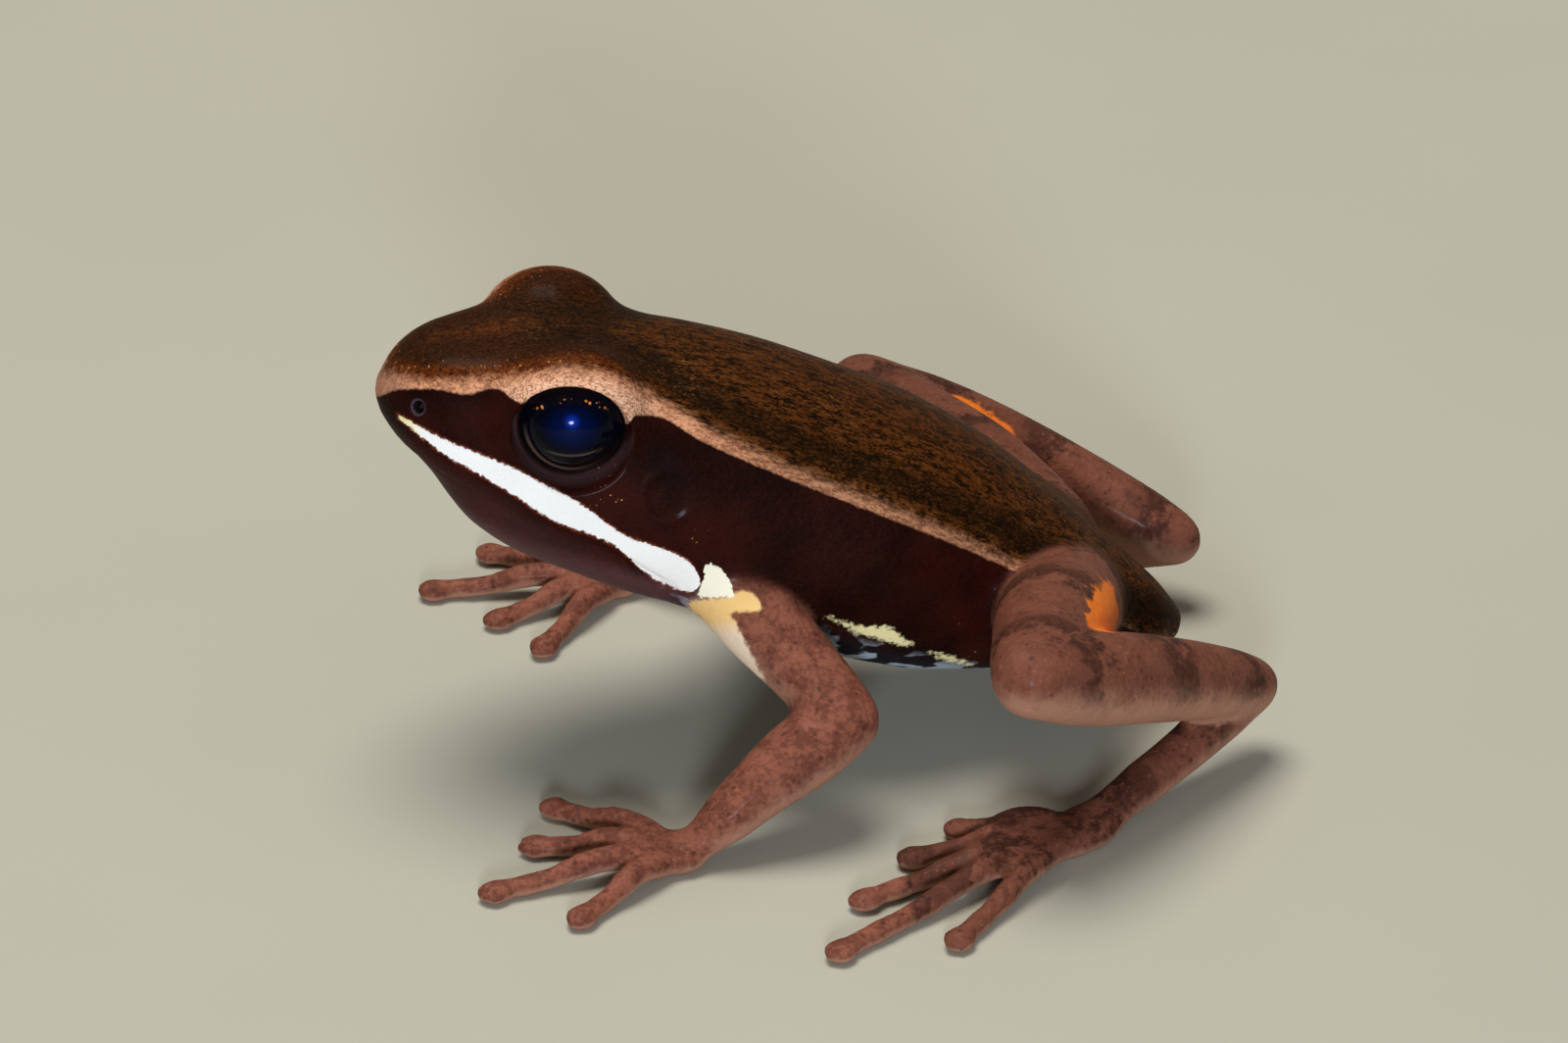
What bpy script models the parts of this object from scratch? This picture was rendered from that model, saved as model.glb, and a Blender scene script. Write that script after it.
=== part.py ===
"""Brilliant-thighed poison frog, a male of 29 mm, sitting with its front raised.

Lengths are in millimetres until MM turns them into metres. The frog faces -X and its
left side is -Y. The trunk is drawn straight, along s from the snout tip back, y across
and h up, and is then pitched nose-up by body_point().
"""

import math

import bmesh
import bpy
import numpy as np
from mathutils import Matrix, Vector

MM = 0.001

# Stance
SNOUT_HEIGHT = 13.7
HEAD_PITCH = math.radians(20.0)
TRUNK_PITCH = math.radians(25.0)
NECK_START = 8.5
NECK_LENGTH = 5.0
GAP = 0.3
SOLE_LEVEL = 0.0

# Head and trunk: distance back, top, widest level, underside, half width,
# squareness above and squareness below
SECTIONS = (
    (-0.24, 0.42, 0.00, -0.42, 0.42, 2.0, 2.0),
    (0.08, 1.16, 0.00, -0.92, 1.20, 2.5, 2.1),
    (0.95, 2.02, -0.40, -1.60, 2.20, 3.3, 2.2),
    (2.20, 2.70, -0.80, -2.30, 3.02, 3.8, 2.3),
    (3.90, 3.32, -1.10, -3.45, 3.80, 3.8, 2.4),
    (5.50, 3.62, -1.25, -3.90, 4.40, 3.2, 2.4),
    (7.50, 3.95, -1.35, -4.14, 4.60, 2.55, 2.4),
    (9.60, 4.18, -1.20, -4.42, 4.78, 2.4, 2.3),
    (12.50, 4.30, -0.70, -4.50, 4.82, 2.35, 2.3),
    (16.50, 4.22, -0.40, -4.55, 5.00, 2.3, 2.2),
    (19.50, 3.85, -0.40, -4.30, 4.60, 2.3, 2.2),
    (22.50, 3.05, -0.45, -3.55, 3.75, 2.2, 2.1),
    (25.50, 1.95, -0.45, -2.70, 2.80, 2.1, 2.0),
    (27.80, 1.05, -0.30, -1.75, 1.85, 2.0, 2.0),
    (29.00, 0.35, -0.15, -0.70, 0.70, 2.0, 2.0),
)
TRUNK_RINGS = 58
TRUNK_SIDES = 40
# Rings stand closer together at the snout and the rump by this share
RING_CROWDING = 0.55
NECK_CUT = 11.4
# Slope of the neck cut, as a share of the way from the head's pitch to the trunk's
NECK_CUT_SLOPE = 0.6
# Half width, half height and length of the block that takes one side of the neck away
CUT_BLOCK = (12.0, 14.0, 40.0)

# Eye
EYE_CENTRE = (5.45, -2.80, 1.78)
EYE_RADIUS = 1.88
EYE_AIM = (-0.10, -0.96, -0.08)
EYE_GAP = 0.2
LID_RADII = (2.55, 2.25, 2.36)
LID_OPENING = (1.72, 1.61)
OPENING_DEPTH = 2.26

# Mouth, nostril and eardrum
MOUTH_LINE = ((-1.5, -1.25), (1.0, -1.50), (5.5, -1.55), (8.5, -2.05), (12.0, -3.30))
MOUTH_GAP = 0.3
MOUTH_HALF_WIDTH = 9.0
NOSTRIL = (0.76, -1.98, 0.34)
NOSTRIL_RADII = (0.27, 0.36, 0.21)
EARDRUM = (9.0, 0.55)
EARDRUM_RADIUS = 0.72
EARDRUM_POCKET = 0.9
EARDRUM_SINK = 0.36

# Limbs: joints back from the snout, out from the middle and up from the floor, and
# half widths. The far leg lies a little lower and closer than the near one.
ARMS = {
    "left": {
        "shoulder": (10.2, 3.3, 7.5),
        "elbow": (14.1, 7.4, 3.8),
        "wrist": (9.3, 9.1, 1.05),
        "turn": 4.0,
    },
    "right": {
        "shoulder": (10.2, 3.3, 7.5),
        "elbow": (14.3, 7.1, 3.7),
        "wrist": (9.9, 9.3, 1.05),
        "turn": -3.0,
    },
}
LEGS = {
    "left": {
        "hip": (22.4, 2.2, 4.6),
        "knee": (19.3, 11.6, 7.2),
        "heel": (28.2, 5.0, 2.45),
        "foot": (22.8, 9.1, 0.90),
        "turn": 31.0,
    },
    "right": {
        "hip": (22.4, 2.2, 4.6),
        "knee": (17.6, 10.6, 6.4),
        "heel": (27.8, 5.2, 2.45),
        "foot": (22.0, 8.9, 0.90),
        "turn": 27.0,
    },
}
UPPER_ARM_RADII = (1.25, 1.42, 1.22, 1.12)
FOREARM_RADII = (1.12, 1.25, 1.0, 0.74)
THIGH_RADII = (1.95, 2.0, 1.65, 1.25)
SHANK_RADII = (1.2, 1.55, 1.35, 0.95)
TARSUS_RADII = (0.95, 0.82, 0.75, 0.82)
# How far each length bows upward in the middle
BOWS = {"upper_arm": 0.2, "forearm": 0.25, "thigh": 0.3, "shank": 0.2, "tarsus": -0.2}
LIMB_SIDES = {"upper_arm": 14, "forearm": 14, "thigh": 16, "shank": 16, "tarsus": 12}

# Palm and sole: start behind and above the joint, then two places ahead of it, with the
# half widths, the flattening and how far ahead the digits take root
PALM = {"start": (-0.2, 0.1), "ahead": (1.1, 2.4), "radii": (0.66, 1.0, 0.9), "flat": 0.62, "root": 0.9}
SOLE = {"start": (-0.4, 0.0), "ahead": (1.5, 3.3), "radii": (0.78, 1.02, 0.95), "flat": 0.60, "root": 1.4}
PALM_SIDES = 12
PALM_HEIGHT = 0.46

# Digits: turn inward from the line of the hand or foot in degrees, reach in mm
FINGERS = ((48.0, 4.7), (20.0, 4.4), (-7.0, 6.0), (-36.0, 4.5))
TOES = ((42.0, 3.6), (24.0, 5.4), (10.0, 7.9), (-2.0, 10.4), (-17.0, 7.4))
DIGIT_RADIUS = 0.38
DIGIT_TAPER = (1.35, 1.2, 1.0, 0.9, 0.9)
DIGIT_ROOT = 0.75
DIGIT_ARCH = 0.3
# Shares of the reach where a digit arches and where it comes down to the floor
ARCH_AT = 0.35
DOWN_AT = 0.72
# Heights of the finger's middle over the floor, as shares of its half width
DOWN_HEIGHT = 0.95
TIP_HEIGHT = 0.80
DIGIT_SIDES = 8
DISC_RADIUS = 0.56
DISC_LENGTH = 0.64
DISC_BACK = 0.22
CAP_TURNS = (28.0, 52.0, 76.0)

SIDES = {"left": -1, "right": 1}

SKIN_COLOURS = {
    "back": (0.055, 0.028, 0.013, 1.0),
    "throat": (0.075, 0.040, 0.038, 1.0),
    "limb": (0.180, 0.070, 0.040, 1.0),
    "eye": (0.004, 0.005, 0.012, 1.0),
    "eardrum": (0.050, 0.022, 0.016, 1.0),
}
SKIN_ROUGHNESS = 0.42
# Edges of the head shorter than this are closed up after its cuts
SLIVER = 0.02
EYE_ROUGHNESS = 0.06


def clear_scene():
    for old in list(bpy.data.objects):
        bpy.data.objects.remove(old, do_unlink=True)


def smooth_step(value):
    value = np.clip(value, 0.0, 1.0)
    return value * value * (3.0 - 2.0 * value)


def rail(stations, values, where):
    """Smooth curve through the values, with slopes held so that it doesn't overshoot."""
    stations = np.asarray(stations, float)
    values = np.asarray(values, float)
    steps = np.diff(stations)
    slopes = np.diff(values) / steps
    inner = np.where(
        slopes[:-1] * slopes[1:] > 0,
        2 * slopes[:-1] * slopes[1:] / (slopes[:-1] + slopes[1:] + 1e-12),
        0.0,
    )
    tangents = np.concatenate([[slopes[0]], inner, [slopes[-1]]])
    spot = np.clip(np.searchsorted(stations, where) - 1, 0, len(steps) - 1)
    part = (where - stations[spot]) / steps[spot]
    return (
        values[spot] * (1 + 2 * part) * (1 - part) ** 2
        + tangents[spot] * steps[spot] * part * (1 - part) ** 2
        + values[spot + 1] * part**2 * (3 - 2 * part)
        + tangents[spot + 1] * steps[spot] * part**2 * (part - 1)
    )


def body_point(points):
    """Takes (s, y, h) of the straight trunk to world millimetres, pitched and bent at the neck."""
    points = np.asarray(points, float)
    along, across, up = points[..., 0], points[..., 1], points[..., 2]
    fine = np.linspace(0.0, 32.0, 321)
    pitch = HEAD_PITCH + (TRUNK_PITCH - HEAD_PITCH) * smooth_step((fine - NECK_START) / NECK_LENGTH)
    step = fine[1] - fine[0]
    run = np.concatenate([[0.0], np.cumsum(np.cos(pitch)[:-1] * step)])
    fall = np.concatenate([[0.0], np.cumsum(np.sin(pitch)[:-1] * step)])
    before = np.minimum(along, 0.0)
    here = np.interp(along, fine, pitch)
    x = np.interp(along, fine, run) + before * math.cos(HEAD_PITCH) + up * np.sin(here)
    z = SNOUT_HEIGHT - np.interp(along, fine, fall) - before * math.sin(HEAD_PITCH) + up * np.cos(here)
    return np.stack([x, across, z], axis=-1)


def make_object(name, points, faces):
    """Closed mesh object from world millimetres."""
    mesh = bpy.data.meshes.new(name)
    mesh.from_pydata([tuple(row) for row in np.asarray(points) * MM], [], faces)
    bm = bmesh.new()
    bm.from_mesh(mesh)
    bmesh.ops.recalc_face_normals(bm, faces=bm.faces)
    bm.to_mesh(mesh)
    bm.free()
    obj = bpy.data.objects.new(name, mesh)
    bpy.context.scene.collection.objects.link(obj)
    return obj


def loft(name, rings, ends):
    """Closed skin over equal rings of points, drawn to a point at each end."""
    rings = np.asarray(rings, float)
    count, sides = rings.shape[:2]
    points = np.vstack([rings.reshape(-1, 3), ends])
    faces = []
    for ring in range(count - 1):
        for side in range(sides):
            after = (side + 1) % sides
            low = ring * sides
            high = low + sides
            faces.append((low + side, low + after, high + after, high + side))
    first, last = count * sides, count * sides + 1
    tail = (count - 1) * sides
    for side in range(sides):
        after = (side + 1) % sides
        faces.append((first, after, side))
        faces.append((last, tail + side, tail + after))
    return make_object(name, points, faces)


def trunk_rings():
    """Rings of the head and trunk, each made of a squared half ellipse above and one below."""
    table = np.array(SECTIONS)
    turn = np.linspace(0.0, 1.0, TRUNK_RINGS)
    spread = turn - RING_CROWDING * np.sin(2 * math.pi * turn) / (2 * math.pi)
    stations = table[0, 0] + (table[-1, 0] - table[0, 0]) * spread
    top, wide, under, half, square_up, square_down = (
        rail(table[:, 0], table[:, column], stations)[:, None] for column in range(1, 7)
    )
    angle = np.linspace(0.0, 2 * math.pi, TRUNK_SIDES, endpoint=False)[None, :]
    cos, sin = np.cos(angle), np.sin(angle)
    square = np.where(sin >= 0, square_up, square_down)
    y = half * np.sign(cos) * np.abs(cos) ** (2 / square)
    reach = np.where(sin >= 0, top - wide, wide - under)
    h = wide + reach * np.sign(sin) * np.abs(sin) ** (2 / square)
    s = np.broadcast_to(stations[:, None], y.shape)
    return body_point(np.stack([s, y, h], axis=-1))


def swept(name, path, radii, sides, rings=9, flatten=1.0, up=(0.0, 0.0, 1.0)):
    """Round-ended limb along a smooth path, its half width taken from the radii."""
    path = np.asarray(path, float)
    knots = np.linspace(0.0, 1.0, len(path))
    length = np.linalg.norm(np.diff(path, axis=0), axis=1).sum()
    cap = (1 - np.cos(np.radians(CAP_TURNS))) / length
    first, last = cap * radii[0], 1 - cap[::-1] * radii[-1]
    along = np.concatenate([first[:-1], np.linspace(first[-1], last[0], rings), last[1:]])
    centre = np.stack([rail(knots, path[:, axis], along) for axis in range(3)], axis=-1)
    radius = rail(np.linspace(0.0, 1.0, len(radii)), radii, along)
    near = np.minimum(along, 1 - along) * length
    end = np.where(along < 0.5, radii[0], radii[-1])
    inside = np.clip(1 - near / end, 0.0, 1.0)
    radius = radius * np.sqrt(np.maximum(1 - inside**2, 0.0))
    tangent = np.gradient(centre, axis=0)
    tangent /= np.linalg.norm(tangent, axis=1)[:, None]
    side = np.cross(tangent, np.asarray(up, float))
    side /= np.linalg.norm(side, axis=1)[:, None]
    rise = np.cross(side, tangent)
    angle = np.linspace(0.0, 2 * math.pi, sides, endpoint=False)
    ring = (
        centre[:, None, :]
        + radius[:, None, None] * np.cos(angle)[None, :, None] * side[:, None, :]
        + flatten * radius[:, None, None] * np.sin(angle)[None, :, None] * rise[:, None, :]
    )
    return loft(name, ring, path[[0, -1]])


def ball(name, centre, radii, sides=24, rings=14, aim=None):
    """Ellipsoid in world millimetres, its first axis turned to the aim when there is one."""
    turn = np.linspace(0.0, math.pi, rings + 1)[1:-1]
    angle = np.linspace(0.0, 2 * math.pi, sides, endpoint=False)
    shape = np.stack(
        [
            np.broadcast_to(np.cos(turn)[:, None], (rings - 1, sides)) * radii[0],
            np.sin(turn)[:, None] * np.cos(angle)[None, :] * radii[1],
            np.sin(turn)[:, None] * np.sin(angle)[None, :] * radii[2],
        ],
        axis=-1,
    )
    ends = np.array([[radii[0], 0.0, 0.0], [-radii[0], 0.0, 0.0]])
    if aim is not None:
        turned = np.array(Vector(aim).to_track_quat("X", "Z").to_matrix())
        shape = shape @ turned.T
        ends = ends @ turned.T
    centre = np.asarray(centre, float)
    return loft(name, shape + centre, ends + centre)


def apply_all(obj):
    """Replaces the object's mesh by the one its modifiers give."""
    graph = bpy.context.evaluated_depsgraph_get()
    mesh = bpy.data.meshes.new_from_object(obj.evaluated_get(graph))
    obj.modifiers.clear()
    obj.data = mesh
    return obj


def boolean(obj, others, operation, solver="EXACT"):
    group = bpy.data.collections.new("others")
    bpy.context.scene.collection.children.link(group)
    for other in others:
        group.objects.link(other)
    modifier = obj.modifiers.new("join", "BOOLEAN")
    modifier.operation = operation
    modifier.operand_type = "COLLECTION"
    modifier.collection = group
    modifier.solver = solver
    bpy.context.view_layer.update()
    apply_all(obj)
    for other in others:
        bpy.data.objects.remove(other, do_unlink=True)
    bpy.data.collections.remove(group)
    return obj


def islands(obj):
    """Face lists of the separate closed surfaces, the largest first."""
    bm = bmesh.new()
    bm.from_mesh(obj.data)
    bm.verts.ensure_lookup_table()
    seen = set()
    groups = []
    for start in bm.verts:
        if start.index in seen:
            continue
        stack = [start]
        seen.add(start.index)
        members = set()
        while stack:
            vert = stack.pop()
            members.add(vert.index)
            for edge in vert.link_edges:
                other = edge.other_vert(vert)
                if other.index not in seen:
                    seen.add(other.index)
                    stack.append(other)
        groups.append(members)
    bm.free()
    points = np.array([vert.co for vert in obj.data.vertices])
    sizes = [float(np.prod(np.ptp(points[list(group)], axis=0) + 1e-9)) for group in groups]
    return [groups[index] for index in np.argsort(sizes)[::-1]]


def keep_island(obj, group):
    bm = bmesh.new()
    bm.from_mesh(obj.data)
    gone = [vert for vert in bm.verts if vert.index not in group]
    bmesh.ops.delete(bm, geom=gone, context="VERTS")
    bm.to_mesh(obj.data)
    bm.free()
    return obj


def keep_largest(obj):
    return keep_island(obj, islands(obj)[0])


def close_slivers(obj):
    """Closes up the very short edges that cuts leave."""
    bm = bmesh.new()
    bm.from_mesh(obj.data)
    bmesh.ops.dissolve_degenerate(bm, edges=bm.edges, dist=SLIVER * MM)
    bm.to_mesh(obj.data)
    bm.free()
    return obj


def copy_of(obj, name):
    twin = obj.copy()
    twin.data = obj.data.copy()
    twin.name = name
    bpy.context.scene.collection.objects.link(twin)
    return twin


def grown(obj, amount):
    """Copy of the object pushed outward along its normals."""
    twin = copy_of(obj, obj.name + "_grown")
    modifier = twin.modifiers.new("grow", "DISPLACE")
    modifier.strength = amount * MM
    modifier.mid_level = 0.0
    bpy.context.view_layer.update()
    return apply_all(twin)


def block(name, low, high):
    low, high = np.asarray(low, float), np.asarray(high, float)
    corners = [
        (x, y, z)
        for x in (low[0], high[0])
        for y in (low[1], high[1])
        for z in (low[2], high[2])
    ]
    faces = [(0, 1, 3, 2), (4, 6, 7, 5), (0, 4, 5, 1), (2, 3, 7, 6), (0, 2, 6, 4), (1, 5, 7, 3)]
    return make_object(name, corners, faces)


def sheet(name, profile, thickness, half_width):
    """Thin curved sheet across the body that follows a profile of (s, h)."""
    profile = np.asarray(profile, float)
    along = np.linspace(profile[0, 0], profile[-1, 0], 28)
    level = rail(profile[:, 0], profile[:, 1], along)
    points = []
    faces = []
    for index, (s, h) in enumerate(zip(along, level)):
        for y, lift in ((-half_width, -0.5), (half_width, -0.5), (half_width, 0.5), (-half_width, 0.5)):
            points.append((s, y, h + lift * thickness))
        if index:
            low, high = 4 * (index - 1), 4 * index
            for side in range(4):
                after = (side + 1) % 4
                faces.append((low + side, low + after, high + after, high + side))
    last = 4 * (len(along) - 1)
    faces.append((3, 2, 1, 0))
    faces.append((last, last + 1, last + 2, last + 3))
    return make_object(name, body_point(points), faces)


def floor_cut(obj):
    """Flat soles at one level."""
    below = block("below", (-20.0, -30.0, -5.0), (50.0, 30.0, SOLE_LEVEL))
    return keep_largest(boolean(obj, [below], "DIFFERENCE"))


def sided(joint, side):
    """Joint of a limb on one side, from its distance out."""
    return (joint[0], side * joint[1], joint[2])


def make_head_and_trunk():
    ends = body_point([(SECTIONS[0][0] - 0.08, 0.0, 0.0), (SECTIONS[-1][0] + 0.2, 0.0, -0.15)])
    whole = loft("whole", trunk_rings(), ends)
    for side in (1, -1):
        centre = body_point((EYE_CENTRE[0], side * EYE_CENTRE[1], EYE_CENTRE[2]))
        lid = ball("lid", centre, LID_RADII, sides=22, rings=12)
        boolean(whole, [lid], "UNION")
    head = copy_of(whole, "head")
    behind = neck_slab("behind", NECK_CUT - GAP / 2, CUT_BLOCK[2])
    boolean(head, [behind], "DIFFERENCE")
    before = neck_slab("before", -CUT_BLOCK[2], NECK_CUT + GAP / 2)
    boolean(whole, [before], "DIFFERENCE")
    whole.name = "torso"
    mouth = sheet("mouth", MOUTH_LINE, MOUTH_GAP, MOUTH_HALF_WIDTH)
    boolean(head, [mouth], "DIFFERENCE", "MANIFOLD")
    parts = islands(head)
    jaw = keep_island(copy_of(head, "lower_jaw"), parts[1])
    head = keep_island(head, parts[0])
    return head, jaw, keep_largest(whole)


def neck_slab(name, first, last):
    """Slab across the body between two distances back from the snout."""
    wide, high = CUT_BLOCK[:2]
    corners = [(s, y, h) for s in (first, last) for y in (-wide, wide) for h in (-high, high)]
    base = body_point([(NECK_CUT, 0.0, 0.0)])[0]
    slope = HEAD_PITCH + (TRUNK_PITCH - HEAD_PITCH) * NECK_CUT_SLOPE
    points = []
    for s, y, h in corners:
        back = s - NECK_CUT
        points.append(
            (
                base[0] + back * math.cos(slope) + h * math.sin(slope),
                y,
                base[2] - back * math.sin(slope) + h * math.cos(slope),
            )
        )
    faces = [(0, 1, 3, 2), (4, 6, 7, 5), (0, 4, 5, 1), (2, 3, 7, 6), (0, 2, 6, 4), (1, 5, 7, 3)]
    return make_object(name, points, faces)


def eye_aim(side):
    """Direction of the eye in the world, from its direction in the head."""
    tip = np.array(EYE_AIM) * (1.0, side, 1.0)
    ahead = body_point(np.array([[0.0, 0.0, 0.0], tip]))
    aim = ahead[1] - ahead[0]
    return aim / np.linalg.norm(aim)


def make_eye(head, side, name):
    """Cuts the socket and the lid opening, and returns the eyeball."""
    centre = body_point((EYE_CENTRE[0], side * EYE_CENTRE[1], EYE_CENTRE[2]))
    aim = eye_aim(side)
    eye = ball(name, centre, (EYE_RADIUS,) * 3, sides=22, rings=13, aim=aim)
    socket = ball("socket", centre, (EYE_RADIUS + EYE_GAP,) * 3, sides=22, rings=13, aim=aim)
    opening = ball(
        "opening",
        centre + aim * EYE_RADIUS,
        (OPENING_DEPTH, LID_OPENING[0], LID_OPENING[1]),
        sides=24,
        rings=10,
        aim=aim,
    )
    boolean(head, [socket], "DIFFERENCE")
    boolean(head, [opening], "DIFFERENCE")
    return eye


def head_side(s, h):
    """Half width of the head and trunk at a distance back and a level."""
    table = np.array(SECTIONS)
    top, wide, under, half, square_up, square_down = (
        float(rail(table[:, 0], table[:, column], np.array([s]))[0]) for column in range(1, 7)
    )
    if h >= wide:
        share, square = (h - wide) / (top - wide), square_up
    else:
        share, square = (wide - h) / (wide - under), square_down
    return half * (1 - min(abs(share), 0.999) ** square) ** (1 / square)


def surface_frame(s, h, side):
    """Point and outward direction on the flank at a distance back and a level."""
    small = 0.05
    spots = [
        (s, side * head_side(s, h), h),
        (s + small, side * head_side(s + small, h), h),
        (s, side * head_side(s, h + small), h + small),
    ]
    here, back, up = body_point(spots)
    normal = np.cross(back - here, up - here)
    normal /= np.linalg.norm(normal)
    if normal[1] * side < 0:
        normal = -normal
    return here, normal


def make_eardrum(head, side, name):
    """Pocket in the cheek with a separate domed disc in it."""
    here, normal = surface_frame(EARDRUM[0], EARDRUM[1], side)
    pocket = ball(
        "pocket",
        here,
        (EARDRUM_POCKET, EARDRUM_RADIUS + GAP, EARDRUM_RADIUS + GAP),
        sides=16,
        rings=8,
        aim=normal,
    )
    boolean(head, [pocket], "DIFFERENCE")
    seat = here - normal * EARDRUM_SINK
    return ball(name, seat, (EARDRUM_SINK, EARDRUM_RADIUS, EARDRUM_RADIUS), sides=16, rings=6, aim=normal)


def make_nostril(head, side):
    here = body_point((NOSTRIL[0], side * NOSTRIL[1], NOSTRIL[2]))
    pit = ball("pit", here, NOSTRIL_RADII, sides=12, rings=8)
    boolean(head, [pit], "DIFFERENCE")


def limb_length(kind, word, start, end, radii):
    """A length of limb that bows a little upward between two joints."""
    start, end = np.asarray(start, float), np.asarray(end, float)
    direction = (end - start) / np.linalg.norm(end - start)
    middle = (start + end) / 2 + (0.0, 0.0, BOWS[kind])
    path = [start - direction * radii[0], middle, end + direction * radii[-1]]
    return swept(kind + "_" + word, path, radii, LIMB_SIDES[kind])


def digit(name, base, heading, reach):
    """Finger or toe that arches from its root to a disc lying on the floor."""
    radius = DIGIT_RADIUS
    ahead = np.array([math.cos(heading), math.sin(heading), 0.0])
    base = np.asarray(base, float)
    floor = base * (1.0, 1.0, 0.0)
    path = [
        base,
        base + ahead * reach * ARCH_AT + (0.0, 0.0, DIGIT_ARCH),
        floor + ahead * reach * DOWN_AT + (0.0, 0.0, radius * DOWN_HEIGHT),
        floor + ahead * reach + (0.0, 0.0, radius * TIP_HEIGHT),
    ]
    shaft = swept(name, path, [radius * share for share in DIGIT_TAPER], DIGIT_SIDES, rings=6)
    tip = floor + ahead * (reach - DISC_BACK) + (0.0, 0.0, radius * TIP_HEIGHT)
    disc = ball(name + "_disc", tip, (DISC_LENGTH, DISC_RADIUS, radius), sides=10, rings=6, aim=ahead)
    return [shaft, disc]


def fan(palm, root, digits, heading, side):
    """Joins the digits to a palm or sole, spread from one heading."""
    pieces = []
    for turn, reach in digits:
        way_heading = heading + side * math.radians(turn)
        way = np.array([math.cos(way_heading), math.sin(way_heading), 0.0])
        pieces += digit("digit", root + way * DIGIT_ROOT, way_heading, reach)
    return boolean(palm, pieces, "UNION")


def make_extremity(name, joint, turn, side, shape, digits):
    """Hand or foot: a flat palm or sole ahead of its joint, and the digits."""
    joint = np.array(joint)
    heading = math.pi - side * math.radians(turn)
    ahead = np.array([math.cos(heading), math.sin(heading), 0.0])
    middle = joint * (1.0, 1.0, 0.0) + (0.0, 0.0, PALM_HEIGHT)
    path = [joint + ahead * shape["start"][0] + (0.0, 0.0, shape["start"][1])]
    path += [middle + ahead * reach for reach in shape["ahead"]]
    palm = swept(name, path, shape["radii"], PALM_SIDES, rings=6, flatten=shape["flat"])
    return fan(palm, middle + ahead * shape["root"], digits, heading, side)


def make_material(name, colour, roughness):
    material = bpy.data.materials.new(name)
    material.use_nodes = True
    shader = material.node_tree.nodes["Principled BSDF"]
    shader.inputs["Base Color"].default_value = colour
    shader.inputs["Roughness"].default_value = roughness
    shader.inputs["Metallic"].default_value = 0.0
    return material


def finish(obj, material):
    bm = bmesh.new()
    bm.from_mesh(obj.data)
    bmesh.ops.remove_doubles(bm, verts=bm.verts, dist=0.00001)
    bmesh.ops.recalc_face_normals(bm, faces=bm.faces)
    bm.to_mesh(obj.data)
    bm.free()
    obj.data.materials.clear()
    obj.data.materials.append(material)
    obj.data.shade_smooth()
    obj.data.set_sharp_from_angle(angle=math.radians(50.0))


def centre_on_floor(objects):
    """Puts the middle of the footprint at the origin and the soles at zero."""
    points = np.array([obj.matrix_world @ vert.co for obj in objects for vert in obj.data.vertices])
    low, high = points.min(0), points.max(0)
    shift = Vector((-(low[0] + high[0]) / 2, -(low[1] + high[1]) / 2, -low[2]))
    for obj in objects:
        obj.data.transform(Matrix.Translation(shift))


def make_limbs(word, head, jaw, torso):
    """Arm and leg of one side, each length cut clear of the one before it."""
    side = SIDES[word]
    arm = ARMS[word]
    leg = LEGS[word]
    joint = {key: sided(value, side) for key, value in (arm | leg).items() if key != "turn"}
    upper_arm = limb_length("upper_arm", word, joint["shoulder"], joint["elbow"], UPPER_ARM_RADII)
    forearm = limb_length("forearm", word, joint["elbow"], joint["wrist"], FOREARM_RADII)
    hand = make_extremity("hand_" + word, joint["wrist"], arm["turn"], side, PALM, FINGERS)
    thigh = limb_length("thigh", word, joint["hip"], joint["knee"], THIGH_RADII)
    shank = limb_length("shank", word, joint["knee"], joint["heel"], SHANK_RADII)
    tarsus = limb_length("tarsus", word, joint["heel"], joint["foot"], TARSUS_RADII)
    foot = make_extremity("foot_" + word, joint["foot"], leg["turn"], side, SOLE, TOES)
    for part, masters in (
        (upper_arm, (torso, head, jaw)),
        (forearm, (upper_arm, torso)),
        (hand, (forearm,)),
        (thigh, (torso,)),
        (shank, (thigh, torso)),
        (tarsus, (shank, thigh, torso)),
        (foot, (tarsus, shank, thigh, forearm)),
    ):
        for master in masters:
            boolean(part, [grown(master, GAP)], "DIFFERENCE")
            keep_largest(part)
    for part in (hand, tarsus, foot):
        floor_cut(part)
    return [upper_arm, forearm, hand, thigh, shank, tarsus, foot]


def main():
    clear_scene()
    head, jaw, torso = make_head_and_trunk()
    nodes = {"head": head, "lower_jaw": jaw, "torso": torso}
    for word, side in SIDES.items():
        nodes["eye_" + word] = make_eye(head, -side, "eye_" + word)
        nodes["eardrum_" + word] = make_eardrum(head, side, "eardrum_" + word)
        make_nostril(head, -side)
    close_slivers(keep_largest(head))
    for word in SIDES:
        for part in make_limbs(word, head, jaw, torso):
            nodes[part.name] = part
    skins = {
        name: make_material(name + "_skin", colour, EYE_ROUGHNESS if name == "eye" else SKIN_ROUGHNESS)
        for name, colour in SKIN_COLOURS.items()
    }
    for name, obj in nodes.items():
        kind = "limb"
        if name in ("head", "torso"):
            kind = "back"
        elif name == "lower_jaw":
            kind = "throat"
        elif name.startswith("eye"):
            kind = "eye"
        elif name.startswith("eardrum"):
            kind = "eardrum"
        finish(obj, skins[kind])
    centre_on_floor(list(nodes.values()))


main()
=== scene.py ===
# Brilliant-thighed poison frog, sitting with its front raised: one skin, two eyes, floor, light and camera.
# Shapes are worked out in millimetres and put into metres at the end.
import math

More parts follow.
